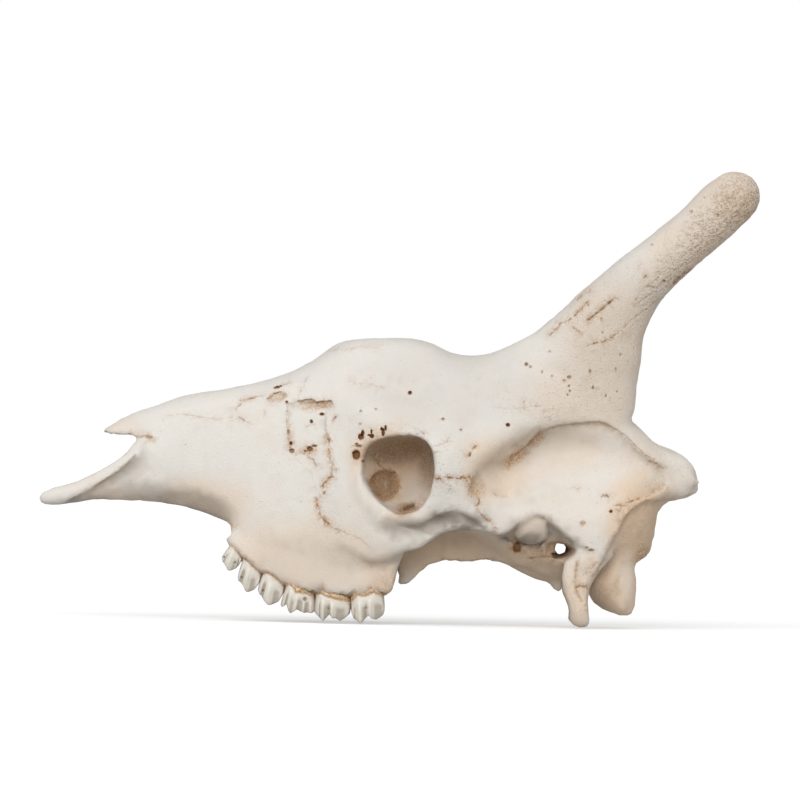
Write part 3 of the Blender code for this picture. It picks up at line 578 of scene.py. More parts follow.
CRACKS = [
    ([(185.4, 324), (177.4, 315), (171, 308.7), (163, 304), (158.3, 303.1), (157.5, 300), (152, 294.4),
        (148, 291.2)], 0.6, 1.0, 0.9, 0.4, HEAD),
    ([(214, 328), (207, 323), (199.7, 316.7), (190, 309.5), (186, 306.3)], 0.9, 1.8, 1.0, 0.4, HEAD),
    ([(171.8, 299.2), (175.8, 296), (180.6, 293)], 0.5, 0.6, 0.7, 0.6, HEAD),
    ([(186, 280), (193.3, 283.5), (201.3, 283.5), (209.3, 288.8), (218.9, 294.4),
        (224, 300)], 0.6, 1.1, 0.75, 0.5, HEAD),
    ([(224, 300), (234, 309), (246, 318), (256, 327)], 0.5, 0.5, 0.3, 0.6, HEAD),
    ([(231.6, 319.5), (247.6, 331), (263.5, 347), (281, 362.5), (295, 372)], 0.45, 0.5, 0.28, 0.6, HEAD),
    ([(250, 343), (264, 355), (280, 369), (297, 381), (308, 389)], 0.45, 0.4, 0.2, 0.6, HEAD),
    ([(239.6, 346.2), (244.4, 350.2)], 0.6, 0.7, 0.7, 0.2, HEAD),
    ([(242.8, 338.2), (246, 340.5), (250.7, 339)], 0.6, 0.7, 0.7, 0.4, HEAD),
    ([(236, 359.5), (239, 363)], 0.8, 0.6, 0.5, 0.2, HEAD),
    ([(175.8, 326.3), (181, 332), (188.6, 336.2)], 1.0, 1.2, 0.7, 0.2, (10, 130)),
    ([(272.3, 342.5), (279, 349), (284, 353.5), (290, 357)], 1.4, 1.6, 0.9, 0.3, (10, 130)),
    ([(68.7, 172), (71.5, 177), (75.5, 182)], 0.9, 1.5, 0.95, 0.3, HEAD),
    ([(200.7, 131), (202.5, 133), (204, 131), (205.5, 133), (207, 130.5)], 0.6, 0.8, 0.85, 0.3, TEMPLE),
    ([(212, 122.2), (218.6, 123), (221, 121.5), (225, 121.8)], 0.7, 0.9, 0.8, 0.4, TEMPLE),
    ([(227.5, 125), (232, 127), (237.7, 128.8)], 0.7, 1.0, 0.9, 0.3, TEMPLE),
    ([(214, 119), (218, 116), (220, 119)], 0.6, 0.6, 0.5, 0.4, TEMPLE),
    ([(167.6, 138.5), (172, 140.3), (176, 138), (179, 140)], 0.7, 0.4, 0.35, 0.4, TEMPLE),
    ([(175.2, 40.6), (179, 42.5), (183, 41), (186.2, 42.5), (186, 39)], 0.7, 1.0, 0.95, 0.4, (40, 95)),
    ([(183.5, 23.5), (183.7, 19)], 0.9, 0.7, 0.9, 0.2, (40, 95)),
    ([(-158.6, 226.2), (-151.3, 228.2), (-143.2, 230.5), (-134, 232.2)], 0.8, 1.0, 0.75, 0.5, HEAD),
    ([(-158.6, 223), (-162.5, 219.5), (-164.6, 216)], 0.7, 0.8, 0.5, 0.4, HEAD),
    ([(-160.6, 210.1), (-156.5, 207.5), (-151.3, 204.1)], 0.7, 0.8, 0.55, 0.4, HEAD),
    ([(-116.4, 242.3), (-110.4, 244.3)], 0.6, 0.7, 0.6, 0.3, HEAD),
    ([(-92.3, 251), (-95, 243), (-98.5, 236), (-101.5, 229)], 0.5, 0.3, 0.3, 0.8, HEAD),
    ([(-69.6, 203.4), (-67, 207), (-64.2, 210.1)], 0.9, 1.2, 0.75, 0.2, HEAD),
    ([(-91, 169.3), (-85.6, 167.3), (-83.6, 162)], 0.6, 0.8, 0.7, 0.5, HEAD),
    ([(-112.8, 223), (-112.7, 209), (-111.5, 195), (-109.5, 183), (-107, 174)], 0.7, 0.5, 0.35, 0.5, HEAD),
    ([(-73.5, 205), (-72, 195), (-73.4, 183)], 0.5, 0.4, 0.2, 0.4, HEAD),
    ([(-93.5, 200.5), (-89, 202), (-85, 202.6)], 0.6, 0.4, 0.3, 0.3, HEAD),
    ([(-48, 182), (-43, 181.5), (-39.5, 179)], 0.6, 0.7, 0.55, 0.5, HEAD),
    ([(13.5, 195.2), (18, 193.5), (21, 196), (24, 193)], 0.6, 0.6, 0.6, 0.5, (60, 130)),
    ([(32, 180), (37, 182), (42, 184), (47, 186.5)], 0.5, 0.5, 0.4, 0.6, (80, 130)),
    ([(33, 175), (38, 175.4)], 0.5, 0.5, 0.4, 0.3, (80, 130)),
    ([(40, 146.5), (46, 144), (52, 140), (49, 138)], 0.5, 0.4, 0.35, 0.8, (80, 130)),
    ([(-30, 176), (-26, 174.5), (-23, 171), (-20, 167)], 0.7, 0.9, 0.8, 0.8, (40, 130)),
    ([(40, 187.5), (46, 186.5), (49, 190)], 0.5, 0.4, 0.4, 0.4, (60, 130)),
    ([(94, 220), (110, 218), (124, 220), (140, 221)], 0.4, 0.3, 0.25, 0.5, HEAD),
    ([(123, 225), (124, 217)], 0.5, 0.4, 0.3, 0.4, HEAD),
    ([(-134.5, 216), (-136, 209)], 0.5, 0.3, 0.2, 0.3, HEAD),
    ([(-104, 227), (-99, 225.5), (-94, 227), (-89, 228), (-83, 224.5), (-75, 226), (-67, 225.5),
        (-68, 220)], 0.5, 0.7, 0.75, 0.5, HEAD),
    ([(-132, 228), (-128, 232.5), (-122, 234.5), (-116, 235.5), (-113, 232)], 0.5, 0.6, 0.6, 0.5, HEAD),
    ([(-24, 169), (-21, 164), (-18, 160), (-14, 158)], 0.6, 0.8, 0.7, 0.6, (25, 112)),
]
HOLES_BOTH = [(-43.4, 172.6, 4.0, 5.0, 6.0), (9.9, 234.2, 1.8, 1.8, 4.0), (116.3, 80.5, 4.0, 5.6, 2.6),
    (181.6, 104.6, 2.4, 2.2, 0.8)]
HOLES_LEFT = [(-124.5, 239, 1.5, 1, 2), (-122, 239.8, 2.4, 1.3, 3), (-119, 240.8, 1.6, 1, 2.5),
    (-112.7, 225, 1.4, 1.2, 2.5), (-77.6, 212.8, 2.3, 1.4, 3.5), (-88, 205.6, 1.4, 1.8, 3.5),
    (-108.4, 184, 1.5, 1.7, 3.5), (-107.7, 176.6, 2.6, 2.2, 2), (-111, 195.5, 1.4, 2.4, 1.2),
    (-38.8, 190.4, 2.8, 3, 5), (-37, 194, 1.6, 3, 5), (-27.8, 191, 2.2, 2.2, 5),
    (-28.4, 195.5, 0.9, 2.4, 4), (-30.5, 192.2, 1.6, 1, 3), (-16.6, 195, 1.6, 4, 5),
    (-14.3, 199, 1.2, 2.6, 4.5), (-18.2, 198.4, 1.1, 1.8, 4), (-41, 181.5, 3.2, 1.3, 2),
    (-43, 183.2, 1.6, 1.2, 2), (-36.4, 166.2, 1.8, 1.4, 2), (107, 202.4, 1.9, 1.8, 4),
    (42.6, 208, 1.4, 1.2, 1.5), (60.4, 197.4, 1.2, 1.1, 1.2), (69, 172, 1.1, 1.3, 1.5),
    (-39, 216, 1.2, 1, 1), (-24, 218.2, 1, 0.9, 0.9), (-39.4, 203.4, 1.3, 0.9, 0.9),
    (209.6, 116.3, 1.6, 1.6, 3), (190, 78, 2.6, 1.1, 1.5), (185.5, 80.5, 1.4, 1, 1.2),
    (262, 345.2, 1.45, 1.3, 1.5), (256.3, 348.6, 0.73, 0.79, 0.9), (250, 381.3, 0.92, 0.94, 0.78),
    (187, 321.5, 0.86, 1.08, 0.72), (148.7, 275.2, 1.32, 1.01, 0.6), (125.6, 262.5, 1.8, 1.6, 2),
    (129.5, 260, 1.2, 1.2, 1.2), (167.8, 249.7, 1.98, 1.58, 1.5), (163, 246.5, 1.58, 0.86, 0.72),
    (167.8, 241, 0.86, 1.15, 1.2), (168.6, 236, 0.92, 1.3, 1.2), (166.5, 232, 0.66, 1.01, 0.9),
    (191.7, 239.4, 0.79, 1.87, 1.32), (204.5, 231.4, 0.79, 1.37, 1.2), (214.5, 257, 0.73, 2.45, 0.72),
    (188.6, 255.3, 1.06, 1.73, 0.72), (215.7, 235.4, 0.66, 1.08, 0.72), (141, 255, 0.99, 1.3, 0.72),
    (151, 251, 0.79, 0.86, 0.6), (219, 272, 0.92, 1.58, 0.6), (201, 294, 0.99, 0.86, 0.6),
    (200, 307, 1.06, 1.87, 0.6), (234, 327, 0.92, 0.79, 0.6), (289, 414, 1.45, 1.37, 0.9),
    (315, 410, 1.45, 1.44, 0.96), (296, 401, 0.99, 0.94, 0.72), (302, 428, 0.86, 0.86, 0.6),
    (-89.5, 178.4, 3, 2.6, 3), (-85.2, 181.4, 2.6, 1.3, 2.6), (-93.7, 176.2, 1.9, 1.1, 2)]


def jagged(line, amount, seed):
    """A line with the small zigzags of a suture."""
    chance = np.random.default_rng(seed)
    line = np.asarray(line, float)
    out = []
    for start, end in zip(line[:-1], line[1:]):
        count = max(1, round(math.hypot(*(end - start)) / 1.6))
        for t in np.arange(count) / count:
            out.append(start + (end - start) * t + chance.uniform(-amount, amount, 2))
    out.append(line[-1])
    return np.array(out)


def keep_values(mesh, name, values):
    """Stores one number for each point of a mesh."""
    made = mesh.attributes.get(name) or mesh.attributes.new(name, "FLOAT", "POINT")
    made.data.foreach_set("value", values.astype(np.float32))


def patches(points, table):
    """Soft patches in the side view: x, z, half sizes, turn, strength,
        least and most distance from the middle."""
    total = np.zeros(len(points))
    x, y, z = points.T
    out = np.abs(y)
    for cx, cz, across, up, turn, strength, low, high in table:
        c, s = math.cos(math.radians(turn)), math.sin(math.radians(turn))
        along = ((x - cx) * c + (z - cz) * s) / across
        beside = ((z - cz) * c - (x - cx) * s) / up
        fade = soft(1.5 - np.hypot(along, beside)) * soft((out - low) / 8 + 1) * soft((high - out) / 8 + 1)
        total = np.maximum(total, strength * fade)
    return total


def refine(mesh, chosen, longest):
    """Splits the long edges that have both ends chosen."""
    ends = mesh_edges(mesh)
    points = mesh_points(mesh)
    length = np.linalg.norm(points[ends[:, 0]] - points[ends[:, 1]], axis=1)
    picked = np.flatnonzero(chosen[ends[:, 0]] & chosen[ends[:, 1]] & (length > longest))
    made = bmesh.new()
    made.from_mesh(mesh)
    made.edges.ensure_lookup_table()
    bmesh.ops.subdivide_edges(made, edges=[made.edges[i] for i in picked], cuts=1)
    bmesh.ops.triangulate(made, faces=[face for face in made.faces if len(face.verts) > 3])
    made.to_mesh(mesh)
    made.free()


PORES = [(335, 422, 44, 32, 40, 0.3, 0, 130), (290, 387, 44, 24, 42, 0.25, 0, 130),
    (340, 422, 34, 30, 40, 1.0, 44, 130), (312, 397, 44, 24, 40, 0.8, 40, 130),
    (280, 365, 34, 24, 42, 0.55, 40, 130), (255, 335, 28, 14, 42, 0.42, 40, 130),
    (200, 277, 40, 30, 45, 0.22, 30, 120), (166, 242, 26, 26, 0, 0.28, 30, 110),
    (185, 223, 24, 14, 0, 0.28, 30, 110), (148, 215, 14, 9, 0, 0.40, 40, 110),
    (0, 199, 30, 7, 0, 0.22, 70, 130), (45, 157, 16, 20, 0, 0.12, 80, 130),
    (190, 59, 12, 14, 0, 0.5, 40, 95), (244, 75, 10, 10, 0, 0.6, 5, 80),
    (262, 149, 30, 26, 0, 0.22, 5, 90), (240, 102, 24, 40, 0, 0.22, 0, 76),
    (50, 149, 26, 32, 0, 0.3, 80, 130), (160, 227, 60, 24, 0, 0.3, 30, 110),
    (210, 307, 50, 50, 45, 0.3, 30, 130), (178, 27, 12, 30, 0, 0.25, 40, 95),
    (-12, 42, 14, 18, 0, 0.3, 50, 110), (0, 197, 40, 8, 0, 0.34, 70, 130),
    (40, 75, 70, 20, 0, 0.12, 15, 66), (-70, 137, 10, 60, 10, 0.16, 40, 110)]


THINNED = 118000
strokes = [(jagged(row[0], row[4], i), *row[1:], BOTH) for i, row in enumerate(SUTURES)]
strokes += [(jagged(row[0], row[4], 50 + i), *row[1:], (LEFT,)) for i, row in enumerate(CRACKS)]
spots = [(spot, BOTH) for spot in HOLES_BOTH] + [(spot, (LEFT,)) for spot in HOLES_LEFT]
skin = Skin(cranium.data)
ends = mesh_edges(cranium.data)
# How hollow each place is, read from the shape; the colour darkens there for dirt and as painted shade in creases
around = smoothed(skin.points, ends, len(skin.points), 12)
hollow = np.einsum("ij,ij->i", around - skin.points, skin.normals)
keep_values(cranium.data, "cavity", soft(hollow / 0.45))


def near_marks(skin, reach, both=True):
    """The points of the skin near a crack, suture or hole; without both, on the left side alone."""
    chosen = np.zeros(len(skin.points), bool)
    for line, width, depth, dark, jag, layer, sides in strokes:
        chosen[skin.near(line, width + reach, layer, sides)[0]] = True
    for (x, z, across, up, depth), sides in spots:
        chosen[skin.near([(x, z), (x, z + 0.01)], max(across, up) + reach, (15, 130), sides)[0]] = True
    return chosen if both else chosen & (skin.points[:, 1] < 0)


def drop_scraps(mesh):
    """Evens out long thin faces and removes loose scraps of a few faces."""
    made = bmesh.new()
    made.from_mesh(mesh)
    bmesh.ops.beautify_fill(made, faces=made.faces, edges=made.edges, method="ANGLE")
    left = set(made.verts)
    while left:
        part = {left.pop()}
        todo = list(part)
        while todo:
            for edge in todo.pop().link_edges:
                new = [vert for vert in edge.verts if vert not in part]
                part.update(new)
                todo += new
        left -= part
        if len(part) < 100:
            bmesh.ops.delete(made, geom=list(part), context="VERTS")
    made.to_mesh(mesh)
    made.free()


porous = patches(skin.points, PORES)
held = near_marks(skin, 1.8) | (porous > 0.35) & (skin.points[:, 1] < 0) | (porous > 0.6)
free = cranium.vertex_groups.new(name="free")
free.add(np.flatnonzero(~held).tolist(), 1.0, "REPLACE")
thin = cranium.modifiers.new("thin", "DECIMATE")
thin.vertex_group = "free"
thin.ratio = THINNED / len(cranium.data.polygons) / 2
apply_modifiers(cranium)
drop_scraps(cranium.data)
print("triangles after thinning:", len(cranium.data.polygons))
for reach, longest, both in ((1.0, 1.1, True), (0.3, 0.8, False)):
    refine(cranium.data, near_marks(Skin(cranium.data), reach, both), longest)
refine(cranium.data, (patches(mesh_points(cranium.data), PORES) > 0.6) & (mesh_points(cranium.data)[:,
    1] < 0), 1.15)
print("triangles after splitting:", len(cranium.data.polygons))

# %% [markdown]
# ## Pits
#
# Pits repeat over the horn tips by the hundred, so a geometry node tree makes them: it scatters points where
# the bone is porous and sinks the skin around each. How deep each place sank is kept for the colour.

# %%
def pit_tree():
    """A node tree that sinks round pits into a mesh, as dense as its attribute pores says."""
    tree = bpy.data.node_groups.new("pits", "GeometryNodeTree")
    tree.interface.new_socket("Geometry", in_out="INPUT", socket_type="NodeSocketGeometry")
    for name in ("Density", "Radius", "Depth"):
        tree.interface.new_socket(name, in_out="INPUT", socket_type="NodeSocketFloat")
    tree.interface.new_socket("Seed", in_out="INPUT", socket_type="NodeSocketInt")
    tree.interface.new_socket("Material", in_out="INPUT", socket_type="NodeSocketMaterial")
    tree.interface.new_socket("Geometry", in_out="OUTPUT", socket_type="NodeSocketGeometry")
    add, join = tree.nodes.new, tree.links.new
    given = add("NodeGroupInput")
    pores = add("GeometryNodeInputNamedAttribute")
    pores.inputs["Name"].default_value = "pores"
    dense = add("ShaderNodeMath")
    dense.operation = "MULTIPLY"
    join(pores.outputs["Attribute"], dense.inputs[0])
    join(given.outputs["Density"], dense.inputs[1])
    scatter = add("GeometryNodeDistributePointsOnFaces")
    join(given.outputs["Geometry"], scatter.inputs["Mesh"])
    join(dense.outputs[0], scatter.inputs["Density"])
    join(given.outputs["Seed"], scatter.inputs["Seed"])
    closest = add("GeometryNodeProximity")
    closest.target_element = "POINTS"
    join(scatter.outputs["Points"], closest.inputs["Geometry"])
    chance = add("ShaderNodeTexWhiteNoise")
    join(closest.outputs["Position"], chance.inputs["Vector"])
    size = add("ShaderNodeMapRange")
    size.inputs["To Min"].default_value = 0.6
    size.inputs["To Max"].default_value = 1.4
    join(chance.outputs["Value"], size.inputs["Value"])
    radius = add("ShaderNodeMath")
    radius.operation = "MULTIPLY"
    join(size.outputs["Result"], radius.inputs[0])
    join(given.outputs["Radius"], radius.inputs[1])
    bowl = add("ShaderNodeMapRange")
    bowl.interpolation_type = "SMOOTHSTEP"
    bowl.inputs["To Min"].default_value = 1.0
    bowl.inputs["To Max"].default_value = 0.0
    join(closest.outputs["Distance"], bowl.inputs["Value"])
    join(radius.outputs[0], bowl.inputs["From Max"])
    sink = add("ShaderNodeMath")
    sink.operation = "MULTIPLY"
    join(bowl.outputs["Result"], sink.inputs[0])
    join(given.outputs["Depth"], sink.inputs[1])
    inward = add("ShaderNodeVectorMath")
    inward.operation = "SCALE"
    join(add("GeometryNodeInputNormal").outputs["Normal"], inward.inputs[0])
    join(sink.outputs[0], inward.inputs["Scale"])
    move = add("GeometryNodeSetPosition")
    join(given.outputs["Geometry"], move.inputs["Geometry"])
    join(inward.outputs["Vector"], move.inputs["Offset"])
    keep = add("GeometryNodeStoreNamedAttribute")
    keep.inputs["Name"].default_value = "pit"
    join(move.outputs["Geometry"], keep.inputs["Geometry"])
    join(bowl.outputs["Result"], keep.inputs["Value"])
    real = add("GeometryNodeRealizeInstances")
    join(keep.outputs["Geometry"], real.inputs["Geometry"])
    dress = add("GeometryNodeSetMaterial")
    join(real.outputs["Geometry"], dress.inputs["Geometry"])
    join(given.outputs["Material"], dress.inputs["Material"])
    join(dress.outputs["Geometry"], add("NodeGroupOutput").inputs["Geometry"])
    return tree


def set_inputs(modifier, values):
    """Sets a node modifier's inputs by the names of its sockets."""
    for socket in modifier.node_group.interface.items_tree:
        if socket.item_type == "SOCKET" and socket.in_out == "INPUT" and socket.name in values:
            modifier[socket.identifier] = values[socket.name]


bone = bpy.data.materials.new("bone")
pit_nodes = pit_tree()
keep_values(cranium.data, "pores", patches(mesh_points(cranium.data), PORES))
pitting = cranium.modifiers.new("pits", "NODES")
pitting.node_group = pit_nodes
set_inputs(pitting, {"Density": 0.17, "Radius": 1.45, "Depth": -0.75, "Seed": 4, "Material": bone})
apply_modifiers(cranium)
print("triangles with pits:", len(cranium.data.polygons))

# %%
skin = Skin(cranium.data)
count = len(skin.points)
marks = {name: np.zeros(count) for name in ("warm", "stain", "crack", "painted_shade")}


def mark(name, chosen, amount):
    """Darkens one kind of mark where it isn't darker already."""
    marks[name][chosen] = np.maximum(marks[name][chosen], amount)


for i, (line, width, depth, dark, jag, layer, sides) in enumerate(strokes):
    chosen, distance, side, along, facing = skin.near(line, 5 * width + 2.5, layer, sides)
    uneven = 0.6 + 0.8 * noise(skin.points[chosen], 3.0, 20 + i)
    where = np.where((skin.points[chosen, 1] > 0) & (len(sides) == 2), 0.6, 1.0)
    groove = np.exp(-((distance / width) ** 2)) * np.clip(uneven + 0.2, 0.15, 1.0) * facing * where
    skin.push(chosen, -depth * groove)
    broken = np.clip(0.68 + 0.9 * noise(skin.points[chosen], 2.6, 90 + i),
        0.15 if 0.45 < jag < 1.2 else 0.5, 1)
    mark("crack", chosen, dark * groove * broken)
    halo = (1.0 if len(sides) == 2 else 0.6) * dark * np.exp(-((distance / (2.4 * width + 1.4)) ** 2)) * np.clip(uneven, 0, 1) * where
    mark("stain", chosen, halo)
for (x, z, across, up, depth), sides in spots:
    layer = (15, 130)
    chosen, *rest, facing = skin.near([(x, z), (x, z + 0.01)], 2.0 * max(across, up), layer, sides)
    at = skin.points[chosen][:, [0, 2]] - (x, z)
    reach = np.hypot(at[:, 0] / across, at[:, 1] / up) + 0.10 * noise(skin.points[chosen], 1.8, 7)
    skin.carve(chosen, depth * soft((1.12 - reach) / 0.5) * facing)
    # The holes are painted dark as shade inside them, the deeper the darker
    mark("crack", chosen, min(1.0, 0.1 + depth / 3.5) * soft((1.15 - reach) / 0.35))
    mark("stain", chosen, 0.45 * soft((1.8 - reach) / 0.8))
skin.update()

# %% [markdown]
# ## Stains and painted shade
#
# Old bone is near white where it has bleached and tan where it hasn't: round the horns, in the temple, the eye
# socket and under the skull. Every hollow, read from the shape itself, is darkened for dirt and as painted shade,
# and patches of painted shade go where little light falls: under the cheek arch, the jaw joint and the nose, in
# the eye socket and over the brow.

# %%
WARM = [(335, 427, 60, 36, 40, 0.52, 0, 130), (290, 377, 60, 34, 42, 0.45, 0, 130),
    (220, 287, 60, 60, 45, 0.45, 20, 120), (185, 227, 60, 40, 0, 0.42, 10, 110),
    (240, 167, 34, 34, -30, 0.30, 0, 80), (145, 177, 60, 30, 0, 0.30, 44, 112),
    (95, 157, 34, 34, 0, 0.62, 44, 112), (240, 97, 34, 60, 0, 0.95, 0, 75),
    (215, 42, 34, 40, 0, 0.85, 0, 62), (175, 27, 22, 44, 0, 0.62, 40, 95),
    (190, 52, 14, 22, 0, 0.50, 40, 95), (40, 75, 70, 30, 0, 0.85, 0, 62),
    (130, 67, 60, 34, 0, 0.80, 0, 66), (130, 99, 22, 16, 0, 0.50, 60, 92),
    (-5, 157, 40, 44, 0, 0.95, 20, 104), (-100, 67, 80, 40, 0, 0.5, 40, 110),
    (-22, 47, 26, 30, 0, 0.6, 50, 110), (-195, 122, 50, 22, 0, 0.50, 0, 60),
    (-290, 134, 60, 14, -24, 0.40, 0, 48), (-280, 199, 22, 10, 0, 0.30, 0, 60),
    (160, 117, 60, 30, 0, 0.16, 50, 115), (165, 177, 50, 26, 0, 0.35, 44, 112),
    (255, 157, 26, 18, -40, 0.22, 5, 90), (290, 147, 16, 18, 0, 0.22, 5, 90),
    (225, 37, 12, 24, 0, 0.6, 0, 66)]
# Patches that take out tan and stain; the last one, along the ridge of the condyle, is a painted highlight
PALE = [(-34, 137, 8, 22, 14, 0.8, 20, 112), (-20, 121, 14, 8, -25, 0.75, 20, 112),
    (16, 137, 13, 15, 0, 0.6, 20, 112), (226, 49, 7, 24, 0, 0.35, 0, 66)]
BROWN = [(-2, 178, 36, 13, 5, 0.9, 20, 104), (11, 119, 18, 7, 22, 0.95, 20, 100),
    (31, 161, 9, 26, 0, 0.60, 20, 104), (74, 139, 9, 12, 0, 0.7, 50, 112),
    (116, 171, 15, 6, 40, 0.85, 50, 112), (134, 186, 14, 5, 40, 0.75, 50, 112),
    (139, 79, 10, 7, 0, 0.7, 15, 75), (-15, 47, 12, 16, 0, 0.30, 50, 110),
    (160, 79, 16, 8, 0, 0.60, 15, 66), (116, 81, 9, 10, 0, 0.55, 15, 75),
    (156, 87, 10, 5, 0, 0.60, 15, 80), (145, 69, 26, 4, 8, 0.40, 5, 62),
    (-135.5, 52, 4, 4, 0, 0.85, 40, 110), (-114, 41, 4, 4, 0, 0.95, 40, 110),
    (-51, 27, 4, 3, 0, 0.85, 40, 110), (-154, 69, 4, 3, 0, 0.7, 40, 110),
    (-66, 29, 3, 3, 0, 0.4, 40, 110), (-87, 35, 4, 3, 0, 0.6, 40, 110),
    (-168, 104, 10, 4, -20, 0.45, 0, 60), (244, 75, 12, 9, 0, 0.40, 0, 80),
    (240, 107, 14, 30, 0, 0.22, 0, 75), (206, 35, 12, 14, 0, 0.30, 15, 60),
    (191, 62, 8, 9, 0, 0.25, 40, 95), (341, 419, 22, 20, 0, 0.30, 40, 130),
    (300, 375, 30, 9, 42, 0.16, 40, 130), (70, 62, 30, 10, 0, 0.30, 0, 50)]
BROWN_LEFT = [(-84, 222.5, 17, 4.5, 0, 0.85, 20, 110), (-122, 230, 11, 6, 20, 0.75, 20, 110),
    (-110, 186, 5, 12, 0, 0.5, 20, 110), (-91, 177, 10, 6, 0, 0.7, 20, 110)]
# Painted shade where little light falls: under the cheek arch and the jaw joint, beneath the nose and the cheek,
# in the eye socket, on the condyle, over the brow and round the horns
PAINTED_SHADE = [(47, 109, 18, 6, -10, 0.85, 60, 130), (71, 105, 16, 6, 30, 0.7, 60, 130),
    (-322, 127, 24, 6, 22, 0.5, 0, 60), (-294, 133, 24, 5, 20, 0.45, 0, 60),
    (-258, 138, 30, 9, 0, 0.45, 0, 60), (-224, 129, 30, 9, -8, 0.5, 0, 60),
    (-194, 118, 22, 8, -20, 0.5, 0, 60), (129, 97, 17, 12, 0, 0.42, 60, 130),
    (129, 89, 14, 5, 0, 0.45, 60, 130), (152, 97, 12, 7, -38, 0.65, 50, 112),
    (166, 86, 12, 5, -25, 0.55, 50, 112), (105, 90, 8, 5, 0, 0.55, 50, 112),
    (-16, 65, 18, 4, 0, 0.2, 60, 130), (-4, 108, 14, 4, 0, 0.4, 60, 120),
    (-2, 178, 36, 13, 5, 0.45, 20, 104), (28, 167, 10, 24, 0, 0.38, 20, 104),
    (50, 242, 90, 46, 0, 0.13, 0, 130), (202, 31, 13, 16, 0, 0.25, 10, 66),
    (0, 107, 22, 4, 0, 0.45, 60, 130), (-15, 141, 14, 14, 0, 0.35, 25, 112),
    (128, 89, 15, 6, 0, 0.9, 60, 130), (58, 108, 28, 6, 0, 0.6, 60, 118),
    (8, 100, 28, 8, -5, 0.55, 60, 130), (36, 100, 14, 8, -30, 0.4, 60, 130),
    (-85, 57, 80, 40, 15, 0.13, 40, 110), (220, 297, 80, 50, 45, 0.10, 0, 130),
    (140, 64, 20, 6, 8, 0.2, 0, 66), (-195, 124, 30, 11, -20, 0.55, 0, 60)]
skin = Skin(cranium.data)
spread = skin.points + 6.0 * np.stack([noise(skin.points, 14.0, 30 + k) for k in range(3)], axis=1)
marks["warm"] = np.maximum(marks["warm"], patches(spread, WARM))
spread = skin.points + 2.0 * np.stack([noise(skin.points, 5.0, 34 + k) for k in range(3)], axis=1)
# Painted shade from the table above, with uneven edges
marks["painted_shade"] = patches(spread, PAINTED_SHADE)
brown = np.maximum(patches(spread, BROWN), patches(spread, BROWN_LEFT) * (skin.points[:, 1] < 0))
marks["stain"] = np.maximum(marks["stain"], brown * (0.8 + 0.3 * noise(skin.points, 5.0, 40)))


# The upper edge of the nose bones turns: above the line tan and shade are taken out as a painted highlight, below
# it painted shade is laid on
chosen, distance, side, *rest = skin.near(NOSE_TURN, 18, (0, 60), BOTH)
below = soft(0.5 - 0.6 * side * distance)
for name in ("warm", "painted_shade"):
    marks[name][chosen] *= 1 - 0.8 * (1 - below) * soft(1.5 - distance / 12)
mark("painted_shade", chosen, 0.65 * below * np.exp(-((distance / 13) ** 2)))
marks["cavity"] = np.empty(count, np.float32)
cranium.data.attributes["cavity"].data.foreach_get("value", marks["cavity"])
chosen, distance, side, along, facing = skin.near(GUM, 6, (40, 110), BOTH)
mark("stain", chosen, 0.6 * np.exp(-((distance / 1.6) ** 2)) * (0.7 + 0.4 * noise(skin.points[chosen],
    4.0, 44)))
chosen, distance, side, along, facing = skin.near(TEMPLE_EDGE, 8, TEMPLE, BOTH)
mark("stain", chosen, 0.35 * np.exp(-((distance / 2.0) ** 2)) * (0.6 + 0.5 * noise(skin.points[chosen],
    6.0, 45)))
spread = skin.points + 1.5 * np.stack([noise(skin.points, 3.0, 50 + k) for k in range(3)], axis=1)
chosen, distance, side, along, facing = skin.near(SOCKET_HOLLOW, 12, (25, 105), BOTH, closed=True)
within = np.where(inside(spread[chosen][:, [0, 2]], SOCKET_HOLLOW), distance, -distance)
worn = np.where(skin.points[chosen, 1] < 0, 1.0, 0.3)
# Paler patches, one of them a painted highlight on the condyle
for name in ("warm", "stain"):
    marks[name] *= 1 - patches(spread, PALE)
mark("stain", chosen, worn * soft((within + 0.8) / 1.6))
for name, values in marks.items():
    keep_values(cranium.data, name, np.clip(values, 0, 1))
print("marks:", sorted(marks))

# %% [markdown]
# ## Materials
#
# Three node groups are shared: fine grain, tiny pores, and the colour that the marks make. Bone and enamel set
# them with their own values.

# %%
def new_group(name, inputs, outputs):
    """An empty shader node group with named sockets, and its input and output nodes."""
    group = bpy.data.node_groups.new(name, "ShaderNodeTree")
    for title, kind in inputs:
        group.interface.new_socket(title, in_out="INPUT", socket_type="NodeSocket" + kind)
    for title, kind in outputs:
        group.interface.new_socket(title, in_out="OUTPUT", socket_type="NodeSocket" + kind)
    return group, group.nodes.new("NodeGroupInput"), group.nodes.new("NodeGroupOutput")


def math_node(tree, operation, first, second, clamp=False):
    """A Math node fed by two sockets or numbers."""
    node = tree.nodes.new("ShaderNodeMath")
    node.operation = operation
    node.use_clamp = clamp
    for socket, value in zip(node.inputs, (first, second)):
        if isinstance(value, bpy.types.NodeSocket):
            tree.links.new(value, socket)
        else:
            socket.default_value = value
    return node.outputs[0]


def mix_node(tree, factor, first, second):
    """Mixes two colours by a socket."""
    node = tree.nodes.new("ShaderNodeMix")
    node.data_type = "RGBA"
    tree.links.new(factor, node.inputs["Factor"])
    for name, value in (("A", first), ("B", second)):
        if isinstance(value, bpy.types.NodeSocket):
            tree.links.new(value, node.inputs[name])
        else:
            node.inputs[name].default_value = (*value, 1.0)
    return node.outputs["Result"]


